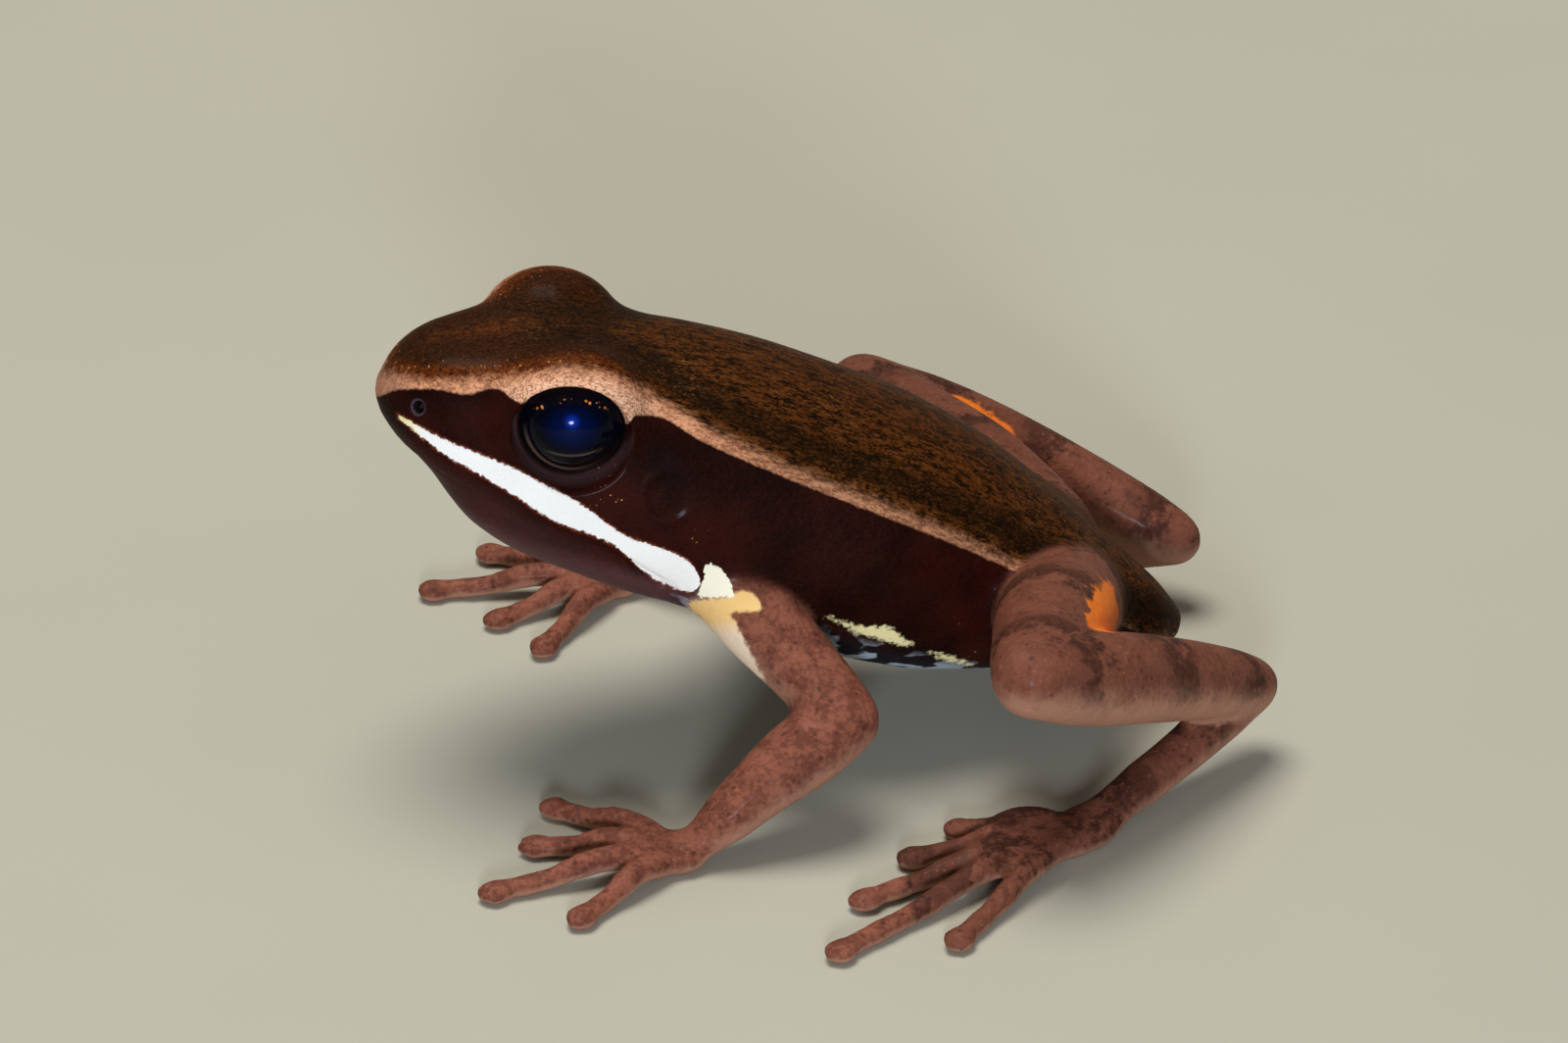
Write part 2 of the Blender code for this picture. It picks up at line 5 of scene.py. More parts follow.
import bmesh
import bpy
import numpy as np
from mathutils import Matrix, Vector


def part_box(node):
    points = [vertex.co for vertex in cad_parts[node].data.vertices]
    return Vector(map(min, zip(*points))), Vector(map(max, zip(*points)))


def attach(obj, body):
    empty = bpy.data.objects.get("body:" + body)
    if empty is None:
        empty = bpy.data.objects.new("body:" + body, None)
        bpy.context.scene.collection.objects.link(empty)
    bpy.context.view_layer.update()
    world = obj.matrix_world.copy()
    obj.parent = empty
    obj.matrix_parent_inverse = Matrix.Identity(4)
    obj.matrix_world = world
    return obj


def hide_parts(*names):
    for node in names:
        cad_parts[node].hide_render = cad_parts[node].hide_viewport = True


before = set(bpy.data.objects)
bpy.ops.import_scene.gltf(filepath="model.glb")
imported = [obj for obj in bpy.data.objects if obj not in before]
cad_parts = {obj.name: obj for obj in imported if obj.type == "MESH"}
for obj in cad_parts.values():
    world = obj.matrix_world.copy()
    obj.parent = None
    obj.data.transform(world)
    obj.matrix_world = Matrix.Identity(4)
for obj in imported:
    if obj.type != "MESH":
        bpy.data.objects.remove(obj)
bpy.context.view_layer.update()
print("frame loaded")

mm = 0.001

# The trunk is drawn straight: s runs back from the snout tip, y across and h up.
# Each section gives s, top, widest level, underside, half width, squareness above and below.
trunk = {
    "sections": (
        (-0.24, 0.42, 0.00, -0.42, 0.42, 2.0, 2.0),
        (0.08, 1.16, 0.00, -0.92, 1.20, 2.5, 2.1),
        (0.95, 2.02, -0.40, -1.60, 2.20, 3.3, 2.2),
        (2.20, 2.70, -0.80, -2.30, 3.02, 3.8, 2.3),
        (3.90, 3.32, -1.10, -3.45, 3.80, 3.8, 2.4),
        (5.50, 3.62, -1.25, -3.90, 4.40, 3.2, 2.4),
        (7.50, 3.95, -1.35, -4.14, 4.60, 2.55, 2.4),
        (9.60, 4.18, -1.20, -4.42, 4.78, 2.4, 2.3),
        (12.50, 4.30, -0.70, -4.50, 4.82, 2.35, 2.3),
        (16.50, 4.22, -0.40, -4.55, 5.00, 2.3, 2.2),
        (19.50, 3.85, -0.40, -4.30, 4.60, 2.3, 2.2),
        (22.50, 3.05, -0.45, -3.55, 3.75, 2.2, 2.1),
        (25.50, 1.95, -0.45, -2.70, 2.80, 2.1, 2.0),
        (27.80, 1.05, -0.30, -1.75, 1.85, 2.0, 2.0),
        (29.00, 0.35, -0.15, -0.70, 0.70, 2.0, 2.0),
    ),
    "snoutHeight": 13.7, "headPitch": 20.0, "trunkPitch": 25.0, "neckStart": 8.5, "neckLength": 5.0,
    "rings": 190, "sides": 120, "crowding": 0.55,  # how much closer the rings stand at both ends
}
eye = {
    "centre": (5.45, 2.80, 1.78), "aim": (-0.10, 0.96, -0.08), "radius": 1.88,
    "lidRadii": (2.55, 2.25, 2.36), "openingLong": 1.72, "openingTall": 1.61,
}
arms = {
    "left": {
        "shoulder": (10.2, 3.3, 7.5), "elbow": (14.1, 7.4, 3.8), "wrist": (9.3, 9.1, 1.05), "turn": 4.0,
    },
    "right": {
        "shoulder": (10.2, 3.3, 7.5), "elbow": (14.3, 7.1, 3.7), "wrist": (9.9, 9.3, 1.05), "turn": -3.0,
    },
}
legs = {
    "left": {
        "hip": (22.4, 2.2, 4.6), "knee": (19.3, 11.6, 7.2), "heel": (28.2, 5.0, 2.45),
        "foot": (22.8, 9.1, 0.90), "turn": 31.0,
    },
    "right": {
        "hip": (22.4, 2.2, 4.6), "knee": (17.6, 10.6, 6.4), "heel": (27.8, 5.2, 2.45),
        "foot": (22.0, 8.9, 0.90), "turn": 27.0,
    },
}
limbWidths = {
    "upperArm": (1.25, 1.42, 1.22, 1.12), "forearm": (1.12, 1.25, 1.0, 0.74), "palm": (0.66, 1.0, 0.9),
    "thigh": (1.95, 2.0, 1.65, 1.25), "shank": (1.2, 1.55, 1.35, 0.95),
    "tarsus": (0.95, 0.82, 0.75, 0.82), "sole": (0.78, 1.02, 0.95),
}
# each length of a limb: its two joints and how far its middle is bowed upward
limbRuns = {
    "upperArm": ("shoulder", "elbow", 0.2),
    "forearm": ("elbow", "wrist", 0.25),
    "thigh": ("hip", "knee", 0.3),
    "shank": ("knee", "heel", 0.2),
    "tarsus": ("heel", "foot", -0.2),
}
soles = {
    "palm": {
        "joint": "wrist", "digits": "fingers", "start": (-0.2, 0.1), "reaches": (1.1, 2.4),
        "flatten": 0.62, "rootAhead": 0.9,
    },
    "sole": {
        "joint": "foot", "digits": "toes", "start": (-0.4, 0.0), "reaches": (1.5, 3.3),
        "flatten": 0.60, "rootAhead": 1.4,
    },
}
digits = {
    "fingers": ((48.0, 4.7), (20.0, 4.4), (-7.0, 6.0), (-36.0, 4.5)),  # turn from the heading, reach
    "toes": ((42.0, 3.6), (24.0, 5.4), (10.0, 7.9), (-2.0, 10.4), (-17.0, 7.4)),
    "radius": 0.38,
    "widths": (1.35, 1.2, 1.0, 0.9, 0.9),  # times the radius, from root to tip
    "archAt": 0.35,  # share of the reach
    "arch": 0.3,
    "bendAt": 0.72,
    "bendHeight": 0.95,  # times the radius
    "tipHeight": 0.80,
    "discRadius": 0.56, "discShape": (1.1, 0.97, 0.95), "discBack": 0.4,
    "palmHeight": 0.46, "rootSpread": 0.75, "knuckle": 0.10,
    "knuckles": ((0.45, 0.72), (0.34, 0.56, 0.78)), "longFrom": 7,  # digits this long have three knuckles
}
# how far round each joint the skin is eased
jointReach = {
    "shoulder": 3.4, "elbow": 1.9, "wrist": 1.3, "hip": 4.8, "knee": 2.6, "heel": 1.8, "foot": 1.6,
}
skinMesh = {
    "voxel": 0.206,
    "fineTo": 9.9,  # the head back to here gets cells half as large
    "fineAbove": 4.6,
    "lidShares": (0.86, 1.42),  # and the lids, by share of the opening, half of that again
    "lidDepth": 0.2,
    "lidsAbove": 9.0,
    "relaxRounds": 12, "jointRounds": 26, "lidRounds": 9,
    "creasePasses": 7, "creaseRounds": 40, "footPasses": 4,
}
sides = {"left": -1, "right": 1}


def ease(value):
    # rises from 0 to 1 with level ends
    value = np.clip(value, 0.0, 1.0)
    return value * value * (3.0 - 2.0 * value)


def bump(value, width):
    # bell curve of height 1
    return np.exp(-((value / width) ** 2))


def rail(stations, values, where):
    # cubic through the values; each slope is the harmonic mean of its neighbours, so it never overshoots
    stations = np.asarray(stations, float)
    values = np.asarray(values, float)
    steps = np.diff(stations)
    slopes = np.diff(values) / steps
    together = slopes[:-1] * slopes[1:] > 0
    total = np.where(together, slopes[:-1] + slopes[1:], 1.0)
    inner = np.where(together, 2 * slopes[:-1] * slopes[1:] / total, 0.0)
    tangents = np.concatenate([[slopes[0]], inner, [slopes[-1]]])
    spot = np.clip(np.searchsorted(stations, where) - 1, 0, len(steps) - 1)
    part = np.clip((where - stations[spot]) / steps[spot], 0.0, 1.0)
    rest = 1 - part
    before = values[spot] * (1 + 2 * part) * rest**2 + tangents[spot] * steps[spot] * part * rest**2
    after = values[spot + 1] * part**2 * (3 - 2 * part) - tangents[spot + 1] * steps[spot] * part**2 * rest
    return before + after


def axisAt(s):
    # the trunk's axis at s: its pitch, and its place, with run and fall summed from the pitch before it
    fine = np.linspace(0.0, 32.0, 321)
    start, more = math.radians(trunk["headPitch"]), math.radians(trunk["trunkPitch"] - trunk["headPitch"])
    pitch = start + more * ease((fine - trunk["neckStart"]) / trunk["neckLength"])
    step = fine[1] - fine[0]
    run, fall = (np.concatenate([[0.0], np.cumsum(turn(pitch)[:-1] * step)]) for turn in (np.cos, np.sin))
    here = np.interp(s, fine, pitch)
    before = np.minimum(s, 0.0)
    x = np.interp(s, fine, run) + before * np.cos(here)
    z = trunk["snoutHeight"] - np.interp(s, fine, fall) - before * np.sin(here)
    return here, x, z


def bodyPoint(points):
    # straight trunk (s, y, h) to the pitched pose: along the axis, then square to it
    s, y, h = np.moveaxis(np.asarray(points, float), -1, 0)
    here, x, z = axisAt(s)
    return np.stack([x + h * np.sin(here), y, z + h * np.cos(here)], axis=-1)


def trunkPlace(points):
    # the pose back to (s, y, h): s is moved until the point lies square to the axis
    s, y, z = points.T * 1.0
    for step in range(12):
        here, axisX, axisZ = axisAt(s)
        s += 0.9 * ((points[:, 0] - axisX) * np.cos(here) - (z - axisZ) * np.sin(here))
    h = (points[:, 0] - axisX) * np.sin(here) + (z - axisZ) * np.cos(here)
    return np.stack([s, y, h], axis=-1)


def circle(count):
    return np.linspace(0.0, 2 * math.pi, count, endpoint=False)


def loft(rings, ends):
    # skin over equal rings, each side joined to the next, closed to a point at both ends
    rings = np.asarray(rings, float)
    count, around = rings.shape[:2]
    index = np.arange(count * around).reshape(count, around)
    after = np.roll(index, -1, axis=1)
    quads = np.stack([index[:-1], after[:-1], after[1:], index[1:]], axis=-1).reshape(-1, 4)
    first, last = count * around, count * around + 1
    headFan = np.stack([np.full(around, first), after[0], index[0]], axis=-1)
    tailFan = np.stack([np.full(around, last), index[-1], after[-1]], axis=-1)
    points = np.vstack([rings.reshape(-1, 3), ends])
    return points, quads, np.vstack([headFan, tailFan])


def sectionsAt(stations):
    # top, widest level, underside, half width and both squarenesses at each place along the trunk
    table = np.array(trunk["sections"])
    return [rail(table[:, 0], table[:, column], stations) for column in range(1, 7)]


def trunkSkin():
    # each ring is a squared half ellipse above the widest level and another below it
    first, last = trunk["sections"][0][0], trunk["sections"][-1][0]
    turn = np.linspace(0.0, 1.0, trunk["rings"])
    crowd = trunk["crowding"] * np.sin(2 * math.pi * turn) / (2 * math.pi)
    stations = first + (last - first) * (turn - crowd)
    top, wide, under, half, squareUp, squareDown = (row[:, None] for row in sectionsAt(stations))
    angle = circle(trunk["sides"])
    cos, sin = np.cos(angle), np.sin(angle)
    square = np.where(sin >= 0, squareUp, squareDown)
    y = half * np.sign(cos) * np.abs(cos) ** (2 / square)
    reach = np.where(sin >= 0, top - wide, wide - under)
    h = wide + reach * np.sign(sin) * np.abs(sin) ** (2 / square)
    s = np.broadcast_to(stations[:, None], y.shape)
    ends = bodyPoint([(first - 0.08, 0.0, 0.0), (last + 0.2, 0.0, -0.15)])
    return loft(bodyPoint(np.stack([s, y, h], axis=-1)), ends)


def limbPath(path, radii, along):
    # centre line, half width and length of a limb; the half width rounds off over its last part at each end
    path = np.asarray(path, float)
    knots = np.linspace(0.0, 1.0, len(path))
    length = np.linalg.norm(np.diff(path, axis=0), axis=1).sum()
    centre = np.stack([rail(knots, path[:, axis], along) for axis in range(3)], axis=-1)
    radius = rail(np.linspace(0.0, 1.0, len(radii)), radii, along)
    near = np.minimum(along, 1 - along) * length
    end = np.where(along < 0.5, radii[0], radii[-1])
    inside = np.clip(1 - near / end, 0.0, 1.0)
    return centre, radius * np.sqrt(np.maximum(1 - inside**2, 0.0)), length


def limbSkin(path, radii, around=28, rings=44, flatten=1.0, knuckles=()):
    # ellipse carried along the centre line, level from side to side; knuckles swell it a little
    turn = np.linspace(0.0, math.pi, rings + 2)[1:-1]
    along = (1 - np.cos(turn)) / 2
    centre, radius, length = limbPath(path, radii, along)
    for place in knuckles:
        radius = radius * (1 + digits["knuckle"] * bump(along - place, 0.05))
    tangent = np.gradient(centre, axis=0)
    tangent /= np.linalg.norm(tangent, axis=1)[:, None]
    side = np.cross(tangent, (0.0, 0.0, 1.0))
    side /= np.linalg.norm(side, axis=1)[:, None]
    rise = np.cross(side, tangent)
    angle = circle(around)
    across = radius[:, None, None] * np.cos(angle)[:, None] * side[:, None]
    upward = flatten * radius[:, None, None] * np.sin(angle)[:, None] * rise[:, None]
    return loft(centre[:, None] + across + upward, np.asarray(path, float)[[0, -1]])


def ballSkin(centre, radii, aim=None, around=48, rings=30):
    # ellipsoid by angle round and angle down from its first axis, which points along the aim
    turn = np.linspace(0.0, math.pi, rings + 1)[1:-1]
    angle = circle(around)
    shape = np.empty((rings - 1, around, 3))
    shape[..., 0] = np.cos(turn)[:, None] * radii[0]
    shape[..., 1] = np.outer(np.sin(turn), np.cos(angle)) * radii[1]
    shape[..., 2] = np.outer(np.sin(turn), np.sin(angle)) * radii[2]
    ends = np.array([[radii[0], 0.0, 0.0], [-radii[0], 0.0, 0.0]])
    if aim is not None:
        turned = np.array(Vector(aim).to_track_quat("X", "Z").to_matrix())
        shape, ends = shape @ turned.T, ends @ turned.T
    return loft(shape + centre, ends + centre)


def sided(joint, side):
    return np.array([joint[0], side * joint[1], joint[2]])


def onBody(joint, side):
    # a place on one side of the straight trunk, in the pose
    return bodyPoint(sided(joint, side))


def awayFrom(points, spot):
    return np.linalg.norm(points - spot, axis=1)


def awayFromPair(points, place):
    # distance to a place on the body or to the same place on its other side, the nearer of the two
    return np.min([awayFrom(points, onBody(place, side)) for side in sides.values()], axis=0)


def headed(angle):
    # level direction at an angle
    return np.array([math.cos(angle), math.sin(angle), 0.0])


def limbRoute(start, end, radii, bow):
    # two joints with the half widths added beyond them, bowed upward in the middle
    direction = (end - start) / np.linalg.norm(end - start)
    middle = (start + end) / 2 + (0.0, 0.0, bow)
    return [start - direction * radii[0], middle, end + direction * radii[-1]]


def digitSkins(root, heading, reach):
    # a finger or toe that arches from its root to a flat disc on the floor
    radius = digits["radius"]
    ahead = headed(heading)
    floorPoint = root * (1.0, 1.0, 0.0)
    bend, end = ((0.0, 0.0, radius * digits[name]) for name in ("bendHeight", "tipHeight"))
    path = [
        root,
        root + ahead * reach * digits["archAt"] + (0.0, 0.0, digits["arch"]),
        floorPoint + ahead * reach * digits["bendAt"] + bend,
        floorPoint + ahead * reach + end,
    ]
    radii = [radius * width for width in digits["widths"]]
    knuckles = digits["knuckles"][int(reach >= digits["longFrom"])]
    tip = floorPoint + ahead * (reach - digits["discRadius"] * digits["discBack"]) + end
    long, wide, flat = digits["discShape"]
    disc = (digits["discRadius"] * long, digits["discRadius"] * wide, radius * flat)
    skins = [limbSkin(path, radii, around=20, rings=40, knuckles=knuckles)]
    return skins + [ballSkin(tip, disc, aim=ahead, around=24, rings=16)]


def extremitySkins(name, limb, side):
    # palm or sole with its digits spread from one heading
    look = soles[name]
    joint = sided(limb[look["joint"]], side)
    heading = math.pi - side * math.radians(limb["turn"])
    ahead = headed(heading)
    middle = joint * (1.0, 1.0, 0.0)
    level = np.array([0.0, 0.0, digits["palmHeight"]])
    path = [joint + ahead * look["start"][0] + (0.0, 0.0, look["start"][1])]
    path += [middle + ahead * reach + level for reach in look["reaches"]]
    skins = [limbSkin(path, limbWidths[name], around=28, rings=30, flatten=look["flatten"])]
    for turn, reach in digits[look["digits"]]:
        way = heading + side * math.radians(turn)
        root = middle + level + ahead * look["rootAhead"] + headed(way) * digits["rootSpread"]
        skins += digitSkins(root, way, reach)
    return skins


def limbs():
    # every limb length with its path and widths, so the markings can measure from it too
    found = []
    for word, side in sides.items():
        joints = {**arms[word], **legs[word]}
        for name, (first, last, bow) in limbRuns.items():
            radii = limbWidths[name]
            route = limbRoute(sided(joints[first], side), sided(joints[last], side), radii, bow)
            found.append((name, route, radii))
    return found


def skinParts():
    parts = [trunkSkin()]
    for side in sides.values():
        parts.append(ballSkin(onBody(eye["centre"], side), eye["lidRadii"], around=72, rings=44))
    for name, path, radii in limbs():
        parts.append(limbSkin(path, radii, around=40, rings=60))
    for word, side in sides.items():
        parts += extremitySkins("palm", arms[word], side)
        parts += extremitySkins("sole", legs[word], side)
    return parts


def newObject(name, data):
    thing = bpy.data.objects.new(name, data)
    bpy.context.scene.collection.objects.link(thing)
    return thing


def joinedMesh(name, parts):
    # all parts in one mesh, in millimetres
    points, faces, start = [], [], 0
    for part, quads, fans in parts:
        points.append(part)
        faces += (quads + start).tolist() + (fans + start).tolist()
        start += len(part)
    mesh = bpy.data.meshes.new(name)
    mesh.from_pydata(np.vstack(points), [], faces)
    mesh.update()
    return newObject(name, mesh)


def settle(mesh, points):
    # the points go into the mesh in metres, and its faces are shaded smooth
    mesh.vertices.foreach_set("co", (points * mm).reshape(-1))
    mesh.polygons.foreach_set("use_smooth", np.ones(len(mesh.polygons), bool))
    mesh.update()


def remesh(thing, voxel):
    modifier = thing.modifiers.new("oneSkin", "REMESH")
    modifier.mode = "VOXEL"
    modifier.voxel_size = voxel

    bpy.context.view_layer.update()
    mesh = bpy.data.meshes.new_from_object(thing.evaluated_get(bpy.context.evaluated_depsgraph_get()))
    thing.modifiers.clear()
    thing.data = mesh


def onHead(points):
    s = trunkPlace(points)[:, 0]
    return (s < skinMesh["fineTo"]) & (points[:, 2] > skinMesh["fineAbove"])


def onLids(points):
    near, far = skinMesh["lidShares"]
    found = np.zeros(len(points), bool)
    for side in sides.values():
        height, share, rise, back = eyeTurn(points, side)
        found |= inFront(points, height - skinMesh["lidDepth"]) & (share > near) & (share < far)
    return found


def refine(thing, chosen):
    # each face whose corners are all chosen is cut into four
    mesh = thing.data
    inside = chosen(readPoints(mesh))[readRows(mesh.edges, width=2)].all(axis=1)
    bm = bmesh.new()
    bm.from_mesh(mesh)
    bm.edges.ensure_lookup_table()
    cut = [bm.edges[index] for index in np.flatnonzero(inside)]
    bmesh.ops.subdivide_edges(bm, edges=cut, cuts=1, use_grid_fill=True)
    bmesh.ops.triangulate(bm, faces=[face for face in bm.faces if len(face.verts) > 4])
    bm.to_mesh(mesh)
    bm.free()
    mesh.update()


def readRows(source, key="vertices", width=3, kind=np.int32):
    # one property of every point, edge or triangle of a mesh, a row for each
    values = np.empty(len(source) * width, kind)
    source.foreach_get(key, values)
    return values.reshape(-1, width)


def readPoints(mesh):
    return readRows(mesh.vertices, "co", kind=float)


def relax(points, edges, strength):
    # each point moves part of the way to the mean of its neighbours
    count = np.bincount(edges.reshape(-1), minlength=len(points))
    mean = np.zeros_like(points)
    for axis in range(3):
        for near, far in ((0, 1), (1, 0)):
            mean[:, axis] += np.bincount(edges[:, near], points[edges[:, far], axis], len(points))
    mean /= count[:, None]
    return points + (mean - points) * strength


def pointNormals(points, triangles):
    # area-weighted mean of the triangles' normals at each point
    a, b, c = (points[triangles[:, corner]] for corner in range(3))
    cross = np.cross(b - a, c - a)
    normals = np.zeros_like(points)
    for axis in range(3):
        for corner in range(3):
            normals[:, axis] += np.bincount(triangles[:, corner], cross[:, axis], len(points))
    return normals / np.maximum(np.linalg.norm(normals, axis=1), 1e-12)[:, None]


def eyeFrame(side):
    # centre, aim, backward and upward directions of one eye
    centre = onBody(eye["centre"], side)
    tip = np.array(eye["aim"]) * (1.0, side, 1.0)
    ahead = bodyPoint([(0.0, 0.0, 0.0), tip])
    aim = ahead[1] - ahead[0]
    aim /= np.linalg.norm(aim)
    back = bodyPoint([(4.0, 0.0, 0.0), (5.0, 0.0, 0.0)])
    along = back[1] - back[0]
    along -= aim * (along @ aim)
    along /= np.linalg.norm(along)
    up = np.cross(along, aim) * side
    return centre, aim, along, up * np.sign(up[2])


def eyeTurn(points, side):
    # height of each point along the eye's aim, and its place across it as a share of the lid opening:
    # 1 at the lid edge, with how far that place lies upward and backward
    centre, aim, along, up = eyeFrame(side)
    reach = points - centre
    back, rise = reach @ along / eye["openingLong"], reach @ up / eye["openingTall"]
    share = np.hypot(back, rise)
    return reach @ aim, share, rise / np.maximum(share, 1e-9), back / np.maximum(share, 1e-9)
def inFront(points, height):
    # on the head and outward of the eye's middle
    return (height > 0.0) & (points[:, 2] > skinMesh["lidsAbove"])


lids = {
    "sink": 0.38,  # the skin behind the eyeball lies this far under it
    "clear": 0.02,
    "wallLower": 4.0, "wallUpper": 2.9, "wallFront": 0.5,  # steepness of the lid beyond its rim
    "rimLower": 0.05, "rimUpper": 0.20, "softLower": 0.16, "softUpper": 0.05,
}
# the hollows where the brows meet the crown: how far from the eye, above what height, and how each fades
crease = {
    "reach": 5.4, "reachFade": 1.2, "above": 1.7, "aboveFront": 0.9, "frontTo": 4.6, "aboveFade": 0.6,
    "crownTop": 15.7, "topFade": 0.5,  # nothing grows above the crown's top
}
mouth = {
    "line": ((-1.5, -1.25), (1.0, -1.50), (5.5, -1.55), (8.5, -2.05), (10.9, -2.85)),
    "depth": 0.13, "width": 0.10, "corner": 10.7, "cornerFade": 0.8, "end": 11.2,
    "jawInset": 0.10, "jawEdge": 0.12, "jawLow": 1.1, "jawFade": 0.9,
}
nostril = {
    "place": (0.76, 1.98, 0.34), "width": 0.15, "depth": 0.32, "rim": 0.03, "rimAt": 0.30, "rimWidth": 0.08,
}
eardrum = {
    "place": (9.0, 0.55), "radius": 0.80, "squash": 1.04, "depth": 0.05, "wall": 0.18,
    "rim": 0.03, "rimOff": 0.08, "rimWidth": 0.12, "beyond": 3.0,  # only this far out from the middle
}
earFold = {
    "line": ((6.8, 2.2), (8.4, 2.0), (9.8, 1.4), (11.2, 0.2)),
    "height": 0.06, "width": 0.42, "fadeIn": 0.8, "fadeOut": 1.0,
}
loreal = {"place": (2.7, 1.1), "reach": (1.0, 0.75), "depth": 0.16, "beyond": 1.5}
snoutTop = {"place": 2.0, "reach": 1.0, "above": 0.9, "aboveFade": 0.6, "depth": 0.12}


def sculptLids(points):
    # over the opening the skin follows the eyeball from beneath; from the opening's edge it rises as a
    # rounded rim and a steep wall until it meets the skin that was there: the lower of the two, softened
    middle = (eye["openingLong"] + eye["openingTall"]) / 2
    for side in sides.values():
        aim = eyeFrame(side)[1]
        height, share, rise, back = eyeTurn(points, side)
        edge = np.hypot(back * eye["openingLong"], rise * eye["openingTall"])
        ball = np.sqrt(eye["radius"] ** 2 - (edge * np.minimum(share, 1.0)) ** 2)
        upper = ease(rise + 0.3)
        soft, rim, wall = (
            lids[name + "Lower"] + (lids[name + "Upper"] - lids[name + "Lower"]) * upper
            for name in ("soft", "rim", "wall")
        )
        wall = wall + lids["wallFront"] * ease(-back)
        level = ball + lids["clear"] - lids["sink"] * (1 - ease((share - 0.92) / 0.08))
        level += rim * ease((share - 1.0) / 0.11)
        level += wall * middle * np.maximum(share - 1.08, 0.0)
        wanted = -soft * np.logaddexp(-height / soft, -np.minimum(level, 9.0) / soft)
        wanted = np.where(share < 1.0, level, np.minimum(wanted, height))
        near = inFront(points, height) & (share < 2.0) & (np.abs(points[:, 1]) < 7.0)
        points = points + aim * np.where(near, wanted - height, 0.0)[:, None]
    return points


def fillCrease(points, edges, triangles):
    s, y, h = trunkPlace(points).T
    weight = ease((crease["reach"] - awayFromPair(points, eye["centre"])) / crease["reachFade"])
    front = crease["aboveFront"] * ease(crease["frontTo"] - s)
    weight *= ease((h - crease["above"] + front) / crease["aboveFade"])
    weight *= ease((crease["crownTop"] - points[:, 2]) / crease["topFade"])
    return grownOutward(points, edges, triangles, weight, skinMesh["creasePasses"])


def grownOutward(points, edges, triangles, weight, passes):
    # points move to their neighbours' mean only where that is outward
    for sweep in range(passes):
        normals = pointNormals(points, triangles)
        for step in range(skinMesh["creaseRounds"]):
            gain = ((relax(points, edges, 0.9) - points) * normals).sum(axis=1)
            points = points + normals * (np.maximum(gain, 0.0) * weight)[:, None]
    return points


def levelAt(line, where):
    # height of a drawn line at each place along it
    stations, levels = zip(*line)
    return rail(stations, levels, where)


def sculptFace(points, normals):
    # mouth groove with the lower jaw set in under the lip, nostril pits, the eardrum's ring with the fold
    # over it, and two shallow hollows on the snout
    s, y, h = trunkPlace(points).T
    onSide = (np.abs(y) > eardrum["beyond"]).astype(float)
    below = levelAt(mouth["line"], s) - h
    nearMouth = ease((mouth["corner"] - s) / mouth["cornerFade"]) * (s < mouth["end"])
    jaw = ease(below / mouth["jawEdge"]) * ease((mouth["jawLow"] - below) / mouth["jawFade"])
    push = -mouth["depth"] * bump(below, mouth["width"]) * nearMouth - mouth["jawInset"] * jaw * nearMouth
    away = awayFromPair(points, nostril["place"])
    push -= nostril["depth"] * bump(away, nostril["width"])
    push += nostril["rim"] * bump(away - nostril["rimAt"], nostril["rimWidth"])
    drum = np.hypot(s - eardrum["place"][0], (h - eardrum["place"][1]) * eardrum["squash"])
    push -= eardrum["depth"] * ease((eardrum["radius"] - drum) / eardrum["wall"]) * onSide
    push += eardrum["rim"] * bump(drum - eardrum["radius"] - eardrum["rimOff"], eardrum["rimWidth"]) * onSide
    start, end = earFold["line"][0][0], earFold["line"][-1][0]
    onFold = ease((s - start) / earFold["fadeIn"]) * ease((end - s) / earFold["fadeOut"]) * onSide
    push += earFold["height"] * bump(h - levelAt(earFold["line"], s), earFold["width"]) * onFold
    (along, up), (long, tall) = loreal["place"], loreal["reach"]
    push -= loreal["depth"] * bump(s - along, long) * bump(h - up, tall) * (np.abs(y) > loreal["beyond"])
    onTop = ease((h - snoutTop["above"]) / snoutTop["aboveFade"])
    push -= snoutTop["depth"] * bump(s - snoutTop["place"], snoutTop["reach"]) * onTop
    return points + normals * push[:, None]


def jointWeight(points):
    # 1 at the limbs' joints, fading outward, and a little round the eyes
    weight = np.zeros(len(points))
    for word, side in sides.items():
        joints = {**arms[word], **legs[word]}
        for name, reach in jointReach.items():
            away = awayFrom(points, sided(joints[name], side))
            weight = np.maximum(weight, ease(1.4 * (1 - away / reach)))
    return np.maximum(weight, 0.3 * ease((3.6 - awayFromPair(points, eye["centre"])) / 0.7))


def lidWeights(points):
    # two bands round the opening: the rim that is softened, and the foot of the lower lid that is filled
    rim, foot = np.zeros(len(points)), np.zeros(len(points))
    for side in sides.values():
        height, share, rise, back = eyeTurn(points, side)
        front = inFront(points, height)
        rim = np.maximum(rim, front * ease((share - 1.06) / 0.12) * ease((2.3 - share) / 0.5))
        around = ease((share - 1.14) / 0.10) * ease((1.9 - share) / 0.3)
        foot = np.maximum(foot, front * around * ease(0.6 - rise))
    return rim, foot


def eased(points, edges, strength, weight, rounds):
    for step in range(rounds):
        points = points + (relax(points, edges, strength) - points) * weight[:, None]
    return points


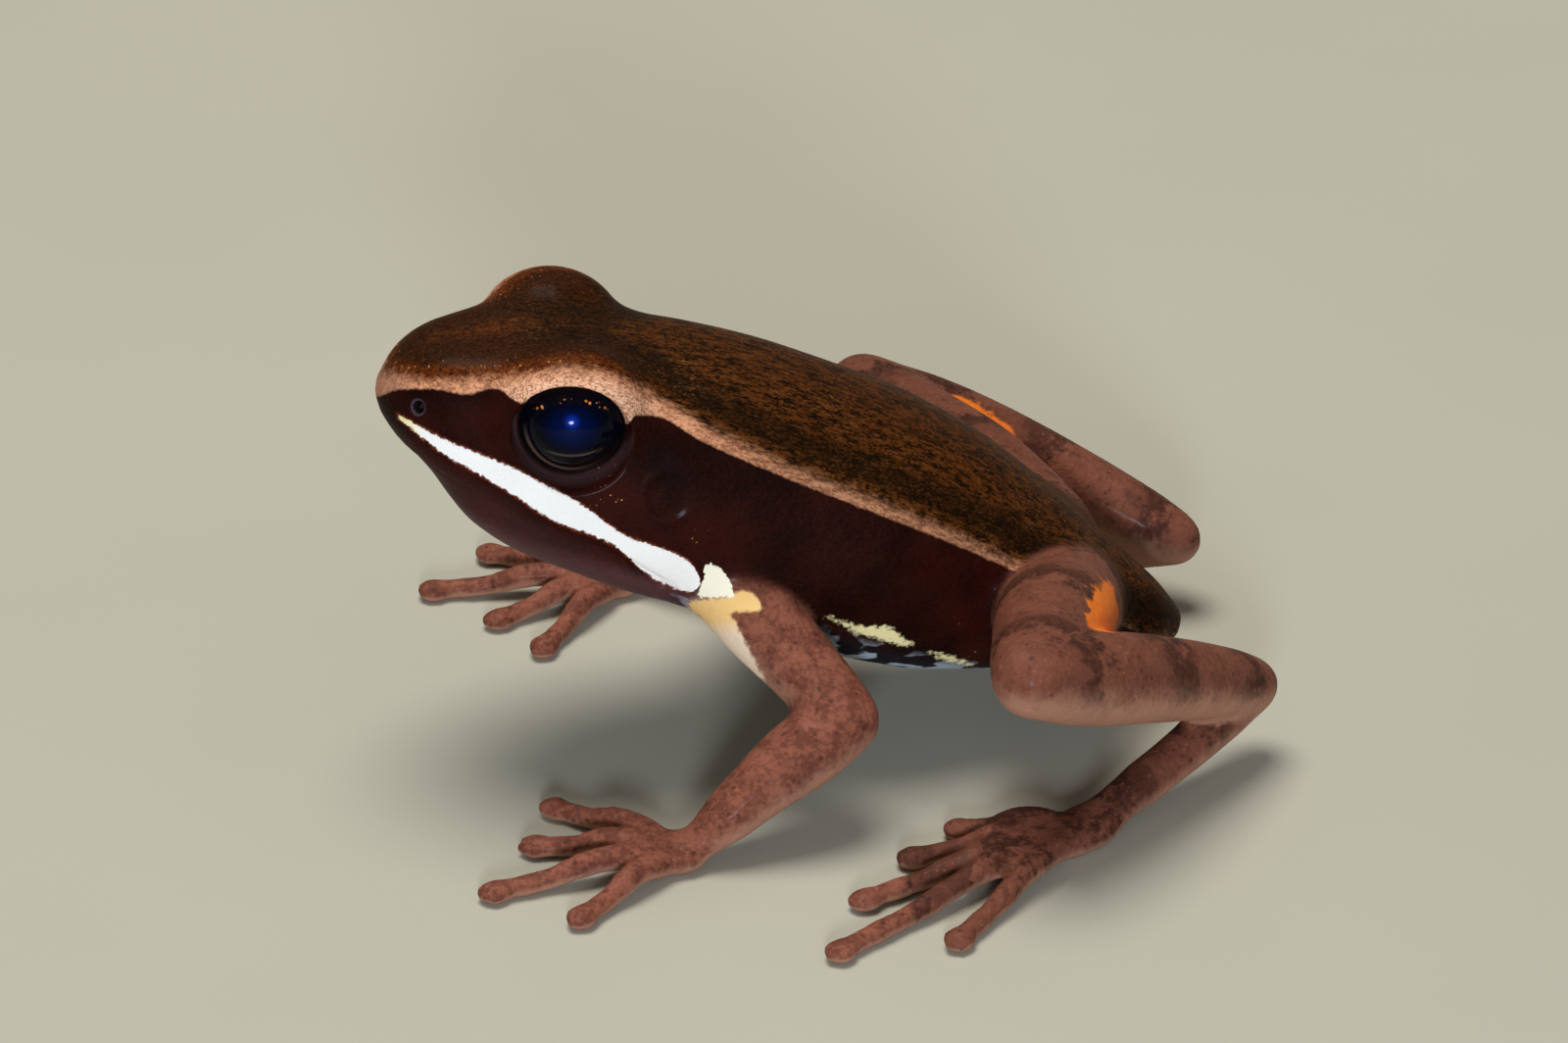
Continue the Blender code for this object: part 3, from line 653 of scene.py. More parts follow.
def buildSkin():
    thing = joinedMesh("skin", skinParts())
    remesh(thing, skinMesh["voxel"])
    refine(thing, onHead)
    refine(thing, onLids)
    mesh = thing.data
    mesh.calc_loop_triangles()
    points, edges, triangles = readPoints(mesh), readRows(mesh.edges, width=2), readRows(mesh.loop_triangles)
    for step in range(skinMesh["relaxRounds"]):
        points = relax(points, edges, 0.5)
        points = relax(points, edges, -0.53)
    points = eased(points, edges, 0.6, jointWeight(points), skinMesh["jointRounds"])
    points = sculptLids(fillCrease(points, edges, triangles))
    rim, foot = lidWeights(points)
    points = eased(points, edges, 0.5, rim, skinMesh["lidRounds"])
    points = grownOutward(points, edges, triangles, foot, skinMesh["footPasses"])
    points = sculptFace(points, pointNormals(points, triangles))
    points = relax(points, edges, 0.25)
    points[:, 2] = np.maximum(points[:, 2], 0.0)
    return thing, points, pointNormals(points, triangles)


# The markings are drawn in the photo-side view of the near side and mirrored to the far side.
sideView = {"turn": -7.6, "rise": 28.0, "distance": 247.0, "eyeMark": (-0.12, -0.96, 0.22)}


def viewAxes(turn, rise):
    # right, up and toward-the-viewer directions of a view round the object
    turn, rise = math.radians(turn), math.radians(rise)
    toward = np.array([math.sin(turn) * math.cos(rise), -math.cos(turn) * math.cos(rise), math.sin(rise)])
    right = np.cross(-toward, (0.0, 0.0, 1.0))
    right /= np.linalg.norm(right)
    return right, np.cross(right, -toward), toward


def sidePlace(points):
    # millimetres right of and above the near eye in the side view, each point seen from its own side
    right, up, toward = viewAxes(sideView["turn"], sideView["rise"])
    near = points * 1.0
    near[:, 1] = -np.abs(near[:, 1])
    reach = near - onBody(eye["centre"], -1)
    eyeMark = np.array(sideView["eyeMark"]) * eye["radius"]
    distance = sideView["distance"]
    scale, markScale = (distance / (distance - way @ toward) for way in (reach, eyeMark))
    u = (reach @ right) * scale - (eyeMark @ right) * markScale
    v = (reach @ up) * scale - (eyeMark @ up) * markScale
    return u, v


def band(u, v, name, edge):
    # depth inside a band between its upper and lower edge: positive inside, in millimetres
    inside = np.minimum(edge[name + "Top"] - v, v - edge[name + "Low"])
    start, end = markings[name + "Top"][0][0], markings[name + "Top"][-1][0]
    return np.minimum(inside, np.minimum(u - start, end - u))


# Edges as (right of the eye mark, above it) in mm, from the snout tip back.
markings = {
    "copperTop": (
        (-6.30, 2.15), (-5.62, 2.06), (-4.60, 1.84), (-2.44, 1.88), (-0.05, 2.17), (0.75, 2.10),
        (2.34, 1.42), (4.20, 0.30), (6.50, -0.85), (13.40, -3.85), (18.50, -6.80),
    ),
    "copperLow": (
        (-6.30, 1.15), (-5.55, 1.38), (-4.60, 1.39), (-3.39, 1.18), (-2.50, 1.38), (-1.64, 0.89),
        (-0.60, 1.00), (0.80, 0.90), (1.78, 0.15), (2.10, 0.44), (2.74, 0.38), (4.20, -0.45),
        (6.50, -1.50), (13.40, -4.40), (18.50, -7.00),
    ),
    "lipTop": (
        (-5.64, 0.57), (-4.36, -0.16), (-1.94, -1.24), (0.16, -2.39), (1.78, -3.53), (2.77, -3.89),
        (3.76, -4.38), (4.10, -4.93), (4.20, -5.30),
    ),
    "lipLow": (
        (-5.64, 0.45), (-4.14, -0.76), (-2.26, -1.88), (-0.64, -2.96), (1.15, -3.70), (2.61, -4.90),
        (3.41, -5.25), (4.20, -5.45),
    ),
    "patchTop": (
        (3.98, -5.42), (4.19, -4.92), (4.22, -4.54), (4.46, -4.41), (4.70, -4.53), (5.10, -5.10),
        (5.20, -5.50),
    ),
    "patchLow": ((3.98, -5.46), (4.30, -5.56), (5.20, -5.52)),
    "armBandTop": ((3.69, -5.67), (4.97, -5.48), (5.40, -5.35), (5.76, -5.38), (6.20, -5.99)),
    "armBandLow": ((3.69, -5.86), (3.95, -6.10), (5.60, -5.99), (6.20, -6.05)),
}
# brush strokes as (right, above, half width)
strokes = {
    "arm": ((4.46, -6.00, 0.48), (4.95, -6.75, 0.40), (5.85, -8.15, 0.22), (6.25, -8.75, 0.04)),
    "flankFront": ((8.20, -6.20, 0.05), (9.20, -6.65, 0.15), (10.20, -6.85, 0.25), (10.86, -7.15, 0.10)),
    "flankRear": ((11.50, -7.45, 0.04), (12.10, -7.65, 0.13), (12.90, -7.85, 0.03)),
}
# orange blotch behind each thigh: how far along from the hip, and how far off the bone which way
thighMark = {"along": 4.8, "behind": 1.7, "way": (1.0, 0.0, 0.3), "halfLength": 3.0, "halfWidth": 1.25}
unreached = 99.0  # farther than any limb, in millimetres


def stroke(u, v, path):
    # depth inside a brush stroke
    best = np.full(len(u), -9.0)
    for first, last in zip(path, path[1:]):
        first, last = np.array(first), np.array(last)
        run = last[:2] - first[:2]
        part = np.clip(((u - first[0]) * run[0] + (v - first[1]) * run[1]) / (run @ run), 0.0, 1.0)
        away = np.hypot(u - first[0] - run[0] * part, v - first[1] - run[1] * part)
        best = np.maximum(best, first[2] + (last[2] - first[2]) * part - away)
    return best


def limbReach(points, path, radii):
    # distance to a limb's surface and the place along it, from its nearest sampled centre
    along = np.linspace(0.02, 0.98, 40)
    centre, radius, length = limbPath(path, radii, along)
    best = np.full(len(points), unreached)
    place = np.zeros(len(points))
    for spot, middle, width in zip(along, centre, radius):
        away = awayFrom(points, middle) - width
        closer = away < best
        best = np.where(closer, away, best)
        place = np.where(closer, spot, place)
    return best, place * length


def trunkReach(points):
    # about how far each point stands off the trunk's own surface
    place = trunkPlace(points)
    s, y, h = place.T
    first, last = trunk["sections"][0][0], trunk["sections"][-1][0]
    top, wide, under, half, squareUp, squareDown = sectionsAt(np.clip(s, first, last))
    above = h >= wide
    square = np.where(above, squareUp, squareDown)
    reach = np.where(above, top - wide, wide - under)
    ratio = ((np.abs(y) / half) ** square + (np.abs(h - wide) / reach) ** square) ** (1 / square)
    off = (ratio - 1) * np.minimum(half, reach)
    return np.maximum(off, np.maximum(first - s, s - last)), place


def flashReach(points):
    # an ellipse behind each thigh: 1 at its middle, 0 at its edge
    flash = np.full(len(points), -unreached)
    for word, side in sides.items():
        hip, knee = (sided(legs[word][joint], side) for joint in ("hip", "knee"))
        line = (knee - hip) / np.linalg.norm(knee - hip)
        middle = hip + line * thighMark["along"] + np.array(thighMark["way"]) * thighMark["behind"]
        lengthways = (points - middle) @ line
        across = np.linalg.norm(points - middle - lengthways[:, None] * line, axis=1)
        reach = np.hypot(lengthways / thighMark["halfLength"], across / thighMark["halfWidth"])
        flash = np.maximum(flash, 1 - reach)
    return flash


def addAttributes(mesh, marks):
    # a number or a vector a point under each name
    for name, values in marks.items():
        values = np.asarray(values, np.float32)
        kind, key = ("FLOAT", "value") if values.ndim == 1 else ("FLOAT_VECTOR", "vector")
        mesh.attributes.new(name, kind, "POINT").data.foreach_set(key, values.reshape(-1))


def markSkin(mesh, points, normals):
    # one number a point for each marking: millimetres inside it, or a share from 0 to 1
    u, v = sidePlace(points)
    seen = normals * 1.0
    seen[:, 1] = -seen[:, 1] * np.where(points[:, 1] > 0, 1.0, -1.0)
    facing = seen @ viewAxes(sideView["turn"], sideView["rise"])[2]
    hidden = 4.0 * (1 - ease((facing + 0.25) / 0.3))
    unseen = facing < -0.3
    trunkOff, place = trunkReach(points)
    limbOff, legOff = np.full((2, len(points)), unreached)
    limbAlong = np.zeros(len(points))
    for name, path, radii in limbs():
        if name in ("upperArm", "thigh"):
            reached = 0.0
        off, along = limbReach(points, path, radii)
        along = along - radii[0] + reached
        reached += np.linalg.norm(path[2] - path[0]) - radii[0] - radii[-1]
        closer = off < limbOff
        limbOff = np.where(closer, off, limbOff)
        limbAlong = np.where(closer, along, limbAlong)
        if name in ("thigh", "shank", "tarsus"):
            legOff = np.minimum(legOff, off)
    low = (points[:, 2] < 1.4) & (trunkOff > 0.5)
    onLimb = np.where(low, 1.0, ease((trunkOff - limbOff + 0.1) / 0.5))
    behind = (points[:, 0] - 13.5) / 2.0 + 0.5 * (legOff < 1.0) - 0.5 * (points[:, 0] < 15)
    edge = {name: levelAt(path, u) for name, path in markings.items()}
    lipEnds = np.minimum(u - markings["lipTop"][0][0], markings["lipTop"][-1][0] - u) - hidden - 3.0 * onLimb
    armMark = np.maximum(band(u, v, "armBand", edge), stroke(u, v, strokes["arm"]))
    flank = np.maximum(stroke(u, v, strokes["flankFront"]), stroke(u, v, strokes["flankRear"]))

    marks = {
        "copperTop": np.where(unseen, -3.0, edge["copperTop"] - v),
        "copperLow": np.where(unseen, -3.0, v - edge["copperLow"]),
        "lipUpper": np.minimum(edge["lipTop"] - v, lipEnds),
        "lipLower": np.minimum(v - edge["lipLow"], lipEnds),
        "jawDepth": edge["lipLow"] - v,
        "patch": band(u, v, "patch", edge) - hidden,
        "armMark": armMark - hidden,
        "flank": flank - hidden - 3.0 * onLimb,
        "onLimb": onLimb,
        "onLeg": ease(behind),
        "limbAlong": limbAlong,
        "thighFlash": flashReach(points),
        "underside": ease(0.5 - 0.6 * normals[:, 2]),
        "trunkPlace": place,
        "sideU": u,
        "sideV": v,
        "nostrilAway": awayFromPair(points, nostril["place"]),
    }
    for word, side in sides.items():
        height, share, rise, back = eyeTurn(points, side)
        marks[word + "Lid"] = np.where(inFront(points, height) & (share < 2.0), share, 2.0)
    addAttributes(mesh, marks)


def srgb(red, green, blue):
    # screen colour out of 255 to the linear numbers that the shader takes
    parts = [value / 255 for value in (red, green, blue)]
    linear = [part / 12.92 if part < 0.04045 else ((part + 0.055) / 1.055) ** 2.4 for part in parts]
    return (*linear, 1.0)


class Wire:
    # one socket of a material; sums on it add Math nodes
    def __init__(self, tree, socket):
        self.tree = tree
        self.socket = socket

    def fill(self, made, values):
        # links or numbers for a node's sockets
        for key, value in values.items():
            if isinstance(value, Wire):
                self.tree.links.new(value.socket, made.inputs[key])
            else:
                made.inputs[key].default_value = value

    def finish(self, values):
        self.fill(self.tree.nodes["Principled BSDF"], values)

    def node(self, kind, settings, values, out=0):
        # any node: its type after "ShaderNode", its settings, then the values or links of its sockets
        made = self.tree.nodes.new("ShaderNode" + kind)
        for key, value in settings.items():
            setattr(made, key, value)
        self.fill(made, values)
        return Wire(self.tree, made.outputs[out])

    def maths(self, operation, *others):
        return self.node("Math", {"operation": operation}, dict(enumerate((self, *others))))

    def __add__(self, other):
        return self.maths("ADD", other)

    __radd__ = __add__

    def __mul__(self, other):
        return self.maths("MULTIPLY", other)

    __rmul__ = __mul__

    def __sub__(self, other):
        return self.maths("SUBTRACT", other)

    def __rsub__(self, other):
        return self.node("Math", {"operation": "SUBTRACT"}, {0: other, 1: self})

    def __truediv__(self, other):
        return self.maths("DIVIDE", other)

    def step(self, low, high):
        # 0 below low, 1 above high, smooth between
        values = {"Value": self, "From Min": low, "From Max": high}
        return self.node("MapRange", {"interpolation_type": "SMOOTHSTEP"}, values)

    def mix(self, first, second):
        # first colour where this is 0, second where it is 1
        return self.node("Mix", {"data_type": "RGBA"}, {0: self, 6: first, 7: second}, out=2)

    def read(self, name, out=2):
        return self.node("Attribute", {"attribute_name": name}, {}, out)

    def readVector(self, name):
        # a vector attribute with its three numbers
        place = self.read(name, out=1)
        return place, *(place.node("SeparateXYZ", {}, {0: place}, out) for out in range(3))

    def scaled(self, amounts):
        return self.node("VectorMath", {"operation": "MULTIPLY"}, {0: self, 1: amounts})

    def noise(self, scale, detail=2.0, roughness=0.5):
        values = {"Vector": self, "Scale": scale, "Detail": detail, "Roughness": roughness}
        return self.node("TexNoise", {}, values)

    def cells(self, scale):
        return self.node("TexVoronoi", {}, {"Vector": self, "Scale": scale})


def newMaterial(name):
    # a material and the wire of its Object coordinates, in metres
    material = bpy.data.materials.new(name)
    material.use_nodes = True
    tree = material.node_tree
    return material, Wire(tree, tree.nodes.new("ShaderNodeTexCoord").outputs["Object"])


skinColours = {
    "crown": (84, 44, 13), "crownWarm": (114, 48, 9), "crownDark": (19, 9, 2), "crownPale": (108, 72, 40),
    "cheek": (50, 16, 10), "cheekDark": (22, 6, 4), "jaw": (92, 60, 60), "throat": (84, 54, 56),
    "copper": (224, 162, 124), "copperPaleAndHighlight": (252, 214, 184), "copperDeep": (158, 102, 72),
    "copperGrey": (150, 110, 90), "gold": (226, 170, 88), "nostrilRimHighlight": (104, 92, 112),
    "lipWhite": (250, 250, 248), "lipFringe": (150, 62, 30), "cream": (250, 238, 178),
    "patch": (253, 247, 224), "orangeBand": (240, 198, 130), "creamDeep": (240, 216, 190),
    "lidFoldSheen": (104, 86, 90), "blackMarginAndShade": (6, 4, 5), "belly": (170, 184, 200), "bellyDark": (28, 24, 30),
    "arm": (138, 84, 66), "armDark": (104, 60, 48), "leg": (122, 74, 58), "legDark": (54, 31, 25),
    "limbPale": (180, 134, 112), "limbSpeck": (60, 34, 28), "thighFlash": (236, 124, 40),
}
# how many of each pattern's cells go to a millimetre along the trunk (the first two) or to a metre
skinScales = {
    "grain": 3.4, "fineGrain": 2.6, "ragged": 4600.0, "broad": 380.0, "edgeNoise": 8000.0, "marble": 900.0,
    "blotch": 1300.0, "skinGrain": 5200.0, "specks": 2900.0, "dots": 4300.0, "flecks": 5200.0,
    "granules": 5600.0, "warts": 2900.0,
}
skinFinish = {"Specular IOR Level": 0.03, "Coat Weight": 0.025, "Coat Roughness": 0.15}
skinBump = {"Strength": 0.5, "Distance": 0.00007}


def skinMaterial():
    material, metres = newMaterial("frogSkin")
    place, s, y, h = metres.readVector("trunkPlace")
    c = {name: srgb(*parts) for name, parts in skinColours.items()}
    scale = skinScales
    grain = place.scaled((0.5, 1.5, 1.5)).noise(scale["grain"], 4.0, 0.65)
    fineGrain = place.scaled((2.6, 5.2, 5.2)).noise(scale["fineGrain"], 3.0, 0.7)
    ragged = metres.noise(scale["ragged"], 4.0, 0.62) - 0.5
    broad = metres.noise(scale["broad"])

    # crown and back: dark olive brown, darker just above the copper line (partly pigment, partly painted
    # shade), with pale flecks that gather between the brows well above it (partly painted light), warmer at
    # the brows and the snout
    u = metres.read("sideU")
    underTop = metres.read("copperTop")
    crown = (grain * 0.5 + fineGrain * 0.6).step(0.47, 0.63).mix(c["crownDark"], c["crown"])
    warm = y.maths("ABSOLUTE").step(0.8, 2.4) * s.step(7.4, 5.6) * 0.8 + s.step(4.4, 1.6) * 0.55
    warm = warm.maths("MINIMUM", 1.0)
    crown = (warm * fineGrain.step(0.30, 0.62) * (0.35 + broad * 0.6)).mix(crown, c["crownWarm"])
    # darker band just above the copper line: partly pigment, partly painted shade
    darkAndShadeByCopper = underTop.step(-0.10, -0.45) * underTop.step(-1.6, -0.9)
    crown = (darkAndShadeByCopper * (0.45 + grain * 0.5)).mix(crown, c["crownDark"])
    # paler crown between the brows, well above the copper line: the added pale here is painted light
    between = underTop.step(-1.2, -1.9) * s.step(8.0, 6.0) * s.step(2.5, 4.5)
    pale = (fineGrain * 0.7 + grain * 0.3).step(0.54, 0.64) * 1.3 + between * 0.5
    crown = (pale * (0.12 + broad.step(0.4, 0.7) * 0.34)).mix(crown, c["crownPale"])
    cheek = (broad * 0.6 + fineGrain * 0.4).step(0.34, 0.64).mix(c["cheekDark"], c["cheek"])

    aboveLow = metres.read("copperLow") + ragged * 0.14
    colour = aboveLow.step(-0.05, 0.05).mix(cheek, crown)

    # lower jaw a little paler than the cheek
    belowLip = metres.read("jawDepth").step(0.05, 0.9) * s.step(11.0, 9.5)
    colour = (belowLip * (0.10 + fineGrain * 0.28)).mix(colour, c["jaw"])

    # belly: pale with dark marbling; throat dark
    marble = metres.noise(scale["marble"]).step(0.47, 0.54)
    bellyColour = marble.mix(c["bellyDark"], c["belly"])
    bellyColour = (s + ragged * 2.0).step(12.5, 10.0).mix(bellyColour, c["throat"])
    colour = (ragged * 0.5 - h).step(2.1, 3.0).mix(colour, bellyColour)

    # limbs: reddish brown arms, legs with faint darker bars
    onLimb = metres.read("onLimb")
    along = metres.read("limbAlong")
    blotch = metres.noise(scale["blotch"], 4.0, 0.6)
    skinGrain = metres.noise(scale["skinGrain"], 3.0, 0.65)
    bars = (along * 1.5 + (blotch - 0.5) * 5.0 + broad * 4.0).maths("SINE").step(0.0, 1.0)
    mottle = (blotch * 0.6 + skinGrain * 0.4).step(0.38, 0.62)
    armColour = mottle.mix(c["armDark"], c["arm"])
    legColour = (bars * 0.60 + (1 - mottle) * 0.30).maths("MINIMUM", 1.0).mix(c["leg"], c["legDark"])
    limbColour = metres.read("onLeg").mix(armColour, legColour)
    under = (metres.read("underside") + (blotch - 0.5) * 0.5).step(0.25, 0.9)
    limbColour = (under * 0.7).mix(limbColour, c["limbPale"])
    specks = (0.30 - metres.cells(scale["specks"])).step(0.0, 0.10) * blotch.step(0.56, 0.44)
    limbColour = (specks * (1 - under) * 0.5).mix(limbColour, c["limbSpeck"])
    dots = (0.22 - metres.cells(scale["dots"])).step(0.0, 0.08) * skinGrain.step(0.45, 0.6)
    limbColour = (dots * 0.22).mix(limbColour, c["limbPale"])
    colour = onLimb.mix(colour, limbColour)
    flash = metres.read("thighFlash") + (blotch - 0.5) * 1.1 + ragged * 0.3
    colour = flash.step(0.02, 0.22).mix(colour, c["thighFlash"])

    # copper line: crisp below, fading upward, palest round the eye, where the pale is partly a painted
    # highlight on the lid
    copperTone = (fineGrain * 0.6 + grain * 0.4).step(0.40, 0.60).mix(c["copperDeep"], c["copper"])
    copperTone = (u.step(-4.9, -6.0) * 0.6).mix(copperTone, c["copperGrey"])
    # pale copper on the lid over the eye: partly pigment, partly a painted highlight
    paleAndHighlightNearEye = u.maths("ABSOLUTE").step(3.4, 1.6) * underTop.step(0.15, 0.75)
    copperTone = (paleAndHighlightNearEye * fineGrain.step(0.36, 0.62) * 0.6).mix(copperTone, c["copperPaleAndHighlight"])
    rise = (underTop + ragged * 0.22 + (grain - 0.5) * 0.5).step(-0.08, 0.52)
    onCopper = rise * aboveLow.step(-0.05, 0.06) * (1 - onLimb) * (1 - u.step(3.0, 7.0) * 0.35)
    colour = (onCopper * 0.94).mix(colour, copperTone)

    # ventrolateral streak, broken
    flank = metres.read("flank") + ragged * 0.5
    colour = flank.step(-0.05, 0.1).mix(colour, c["cream"])

    # white lip stripe and the shoulder marks
    edgeNoise = metres.noise(scale["edgeNoise"], 3.0, 0.7) - 0.5
    lipUpper = metres.read("lipUpper") + edgeNoise * 0.24 + ragged * 0.10
    lip = lipUpper.maths("MINIMUM", metres.read("lipLower") + edgeNoise * 0.24 + ragged * 0.26)
    colour = (lip.step(-0.12, -0.02) * 0.35).mix(colour, c["lipFringe"])
    lipTone = u.step(-5.5, -4.7).mix(c["cream"], c["lipWhite"])
    colour = lip.step(-0.03, 0.04).mix(colour, lipTone)
    armMark = metres.read("armMark") + ragged * 0.34
    armTone = metres.read("sideV").step(-6.9, -6.1).mix(c["creamDeep"], c["orangeBand"])
    colour = armMark.step(-0.07, 0.09).mix(colour, armTone)
    patch = metres.read("patch") + edgeNoise * 0.24 + ragged * 0.26
    colour = patch.step(-0.03, 0.05).mix(colour, c["patch"])

    # gold flecks, thickest along the copper line's upper edge and on the brows
    byCopper = 1 - (underTop * 2.2).maths("ABSOLUTE").step(0.3, 1.4)
    fleckAt = byCopper * u.step(1.5, -0.5) + broad.step(0.60, 0.72) * 0.8
    fleck = (0.17 - metres.cells(scale["flecks"])).step(0.0, 0.05) * fleckAt * grain.step(0.42, 0.56)
    colour = (fleck * (1 - onLimb) * 0.85).mix(colour, c["gold"])

    # lid margins and nostrils: a painted sheen on the lower lid's fold, near black on the lid margin with
    # painted shade in the gap round the eyeball and in the nostril pits, and a painted highlight on the
    # nostril rims
    lidNear = metres.read("leftLid").maths("MINIMUM", metres.read("rightLid"))
    # painted sheen: a thin grey band along the crest of the lower lid's fold
    lidSheenLine = lidNear.step(1.04, 1.09) * (1 - lidNear.step(1.10, 1.19))
    colour = (lidSheenLine * aboveLow.step(-0.2, -0.8) * 0.25).mix(colour, c["lidFoldSheen"])
    # near black at the lid margin and in the gap round the eyeball: partly a dark margin, partly painted
    # shade
    colour = (1 - lidNear.step(1.01, 1.05)).mix(colour, c["blackMarginAndShade"])
    nostrilAway = metres.read("nostrilAway") + ragged * 0.05
    # painted highlight: a faint bluish-grey ring on each nostril's rim
    colour = (nostrilAway.step(0.32, 0.27) * nostrilAway.step(0.20, 0.25) * 0.3).mix(colour, c["nostrilRimHighlight"])
    # painted shade: the nostril pits filled near black to stand in for their depth
    colour = nostrilAway.step(0.24, 0.19).mix(colour, c["blackMarginAndShade"])

    # relief: fine grain all over, warts toward the back, and rougher limbs
    warts = (0.7 - metres.cells(scale["warts"])) * s.step(8.0, 15.0) * h.step(-1.0, 1.5)
    relief = fineGrain * 0.8 + (1 - metres.cells(scale["granules"])) * 0.45 + warts * 0.8
    relief = relief + onLimb * skinGrain * 0.9
    normal = metres.node("Bump", {}, {**skinBump, "Height": relief})
    roughness = 0.42 + fineGrain * 0.16
    metres.finish({"Base Color": colour, "Roughness": roughness, "Normal": normal, **skinFinish})
    return material


eyeball = {
    "rings": 90, "around": 120, "corneaBulge": 0.05,
    "gaze": (-0.12, 0.96, 0.22), "pupilLong": 1.25, "pupilTall": 0.78,
}


def buildEye(word, offset):
    # sphere round the aim, its front raised into a low cornea; rings by angle from the aim
    side = sides[word]
    centre, aim, along, up = eyeFrame(side)
    turn = np.linspace(0.0, math.pi, eyeball["rings"] + 1)[1:-1]
    angle = circle(eyeball["around"])
    radius = eye["radius"] + eyeball["corneaBulge"] * ease((0.9 - turn) / 0.6)
    wide = (np.sin(turn) * radius)[:, None, None]
    ring = (np.cos(turn) * radius)[:, None, None] * aim + wide * np.cos(angle)[:, None] * along
    ring = ring + wide * np.sin(angle)[:, None] * up
    ends = np.array([aim * (eye["radius"] + eyeball["corneaBulge"]), -aim * eye["radius"]])
    thing = joinedMesh("eyeball_" + word, [loft(ring + centre, ends + centre)])
    mesh = thing.data
    if np.dot(np.cross(along, up), aim) > 0:
        mesh.flip_normals()
    points = readPoints(mesh)
    local = points - centre
    gaze = np.array(eyeball["gaze"]) * (1.0, side, 1.0)
    gaze /= np.linalg.norm(gaze)
    across = np.cross(gaze, (0.0, 0.0, 1.0))
    across *= np.sign(across[0]) / np.linalg.norm(across)
    rise = np.cross(across, gaze)
    rise *= np.sign(rise[2])
    addAttributes(mesh, {"eyePlace": np.stack([local @ across, local @ rise, local @ gaze], axis=-1)})
    settle(mesh, points + offset)
    return thing


eyeColours = {
    "pupil": (0, 3, 14), "paintedReflectionGlow": (0, 20, 80), "paintedHighlightHalo": (0, 52, 190), "iris": (3, 5, 18),
    "irisWarm": (20, 12, 12), "speck": (236, 140, 62), "rim": (16, 9, 8), "wetRim": (128, 106, 92),
}
eyeFinish = {"Roughness": 0.055, "Specular IOR Level": 0.07, "Coat Weight": 0.02, "Coat Roughness": 0.24}


def eyeMaterial():
    # black pupil in a nearly black iris, a painted blue glow in the middle that stands in for the flash's
    # reflection, a painted halo round the highlight, and gold flecks on the iris above
    material, metres = newMaterial("wetEye")
    place, x, y, depth = metres.readVector("eyePlace")
    long, tall = eyeball["pupilLong"], eyeball["pupilTall"]
    reach = ((x / long) * (x / long) + (y / tall) * (y / tall)).maths("SQRT")
    strands = place.scaled((1.0, 1.0, 0.4)).noise(7.0, 3.0, 0.65)
    c = {name: srgb(*parts) for name, parts in eyeColours.items()}
    iris = strands.step(0.45, 0.72).mix(c["iris"], c["irisWarm"])
    iris = (reach.step(1.25, 1.7)).mix(iris, c["rim"])
    colour = reach.step(0.98, 1.06).mix(c["pupil"], iris)
    # painted reflection: a soft blue glow over the middle of the eye, in place of the flash's blue
    # reflection
    paintedReflectionGlow = (x * x * 0.8 + (y - 0.02) * (y - 0.02) * 1.2).step(1.30, -0.30)
    colour = (paintedReflectionGlow * paintedReflectionGlow * 0.62).mix(colour, c["paintedReflectionGlow"])
    # painted highlight: a small bright blue halo round the place where the flash's highlight falls
    paintedHighlightHalo = (x * x + (y - 0.25) * (y - 0.25)).step(0.13, -0.03)
    colour = (paintedHighlightHalo * paintedHighlightHalo * 0.6).mix(colour, c["paintedHighlightHalo"])
    specks = (0.34 - place.cells(6.0)).step(0.0, 0.08)
    ringBand = reach.step(1.00, 1.06) * (1 - reach.step(1.16, 1.26)) * y.step(0.45, 0.7)
    colour = (specks * ringBand).mix(colour, c["speck"])
    away = (x * x + y * y).maths("SQRT")
    # a pale arc near the eyeball's lower edge, partly the wet lid margin's own colour and partly a painted
    # reflection on it, and a thin arc of the same colour under the pupil
    wetRim = away.step(1.42, 1.53) * away.step(1.62, 1.54) * y.step(0.15, -0.7) * x.step(1.1, -0.4)
    lowArc = reach.step(1.10, 1.20) * reach.step(1.28, 1.21) * y.step(-0.70, -0.92)
    colour = (wetRim * 0.42 + lowArc * 0.30).mix(colour, c["wetRim"])
    metres.finish({"Base Color": colour, **eyeFinish})
    return material


floorLook = {"size": 1.6, "colour": srgb(178, 176, 161), "shade": 0.97, "grain": 60.0, "roughness": 0.75}
lights = {
    "key": {"location": (-0.04, 0.09, 0.42), "size": 0.26, "energy": 1.65, "color": (1.0, 0.965, 0.90)},
    "flash": {"location": (-0.051, -0.293, 0.090), "size": 0.05, "energy": 0.64, "color": (0.84, 0.90, 1.0)},
}
surround = {"Color": (0.95, 0.93, 0.89, 1.0), "Strength": 0.20}
camera = {
    "distance": 0.247, "lens": 174.5, "sensor": 36.0, "turn": -7.6, "rise": 28.0,
    "aimRight": 6.85, "aimDown": 3.59,  # millimetres from the near eye
}


def buildFloor():
    # a flat square sheet under the feet
    half = floorLook["size"] / 2
    corners = [(-half, -half, 0), (half, -half, 0), (half, half, 0), (-half, half, 0)]
    mesh = bpy.data.meshes.new("floor")
    mesh.from_pydata(corners, [], [(0, 1, 2, 3)])
    material, metres = newMaterial("paleFloor")
    *tint, alpha = floorLook["colour"]
    darker = (*(value * floorLook["shade"] for value in tint), alpha)
    colour = metres.noise(floorLook["grain"]).step(0.2, 0.8).mix(floorLook["colour"], darker)
    metres.finish({"Base Color": colour, "Roughness": floorLook["roughness"]})
    mesh.materials.append(material)
    newObject("floor", mesh)


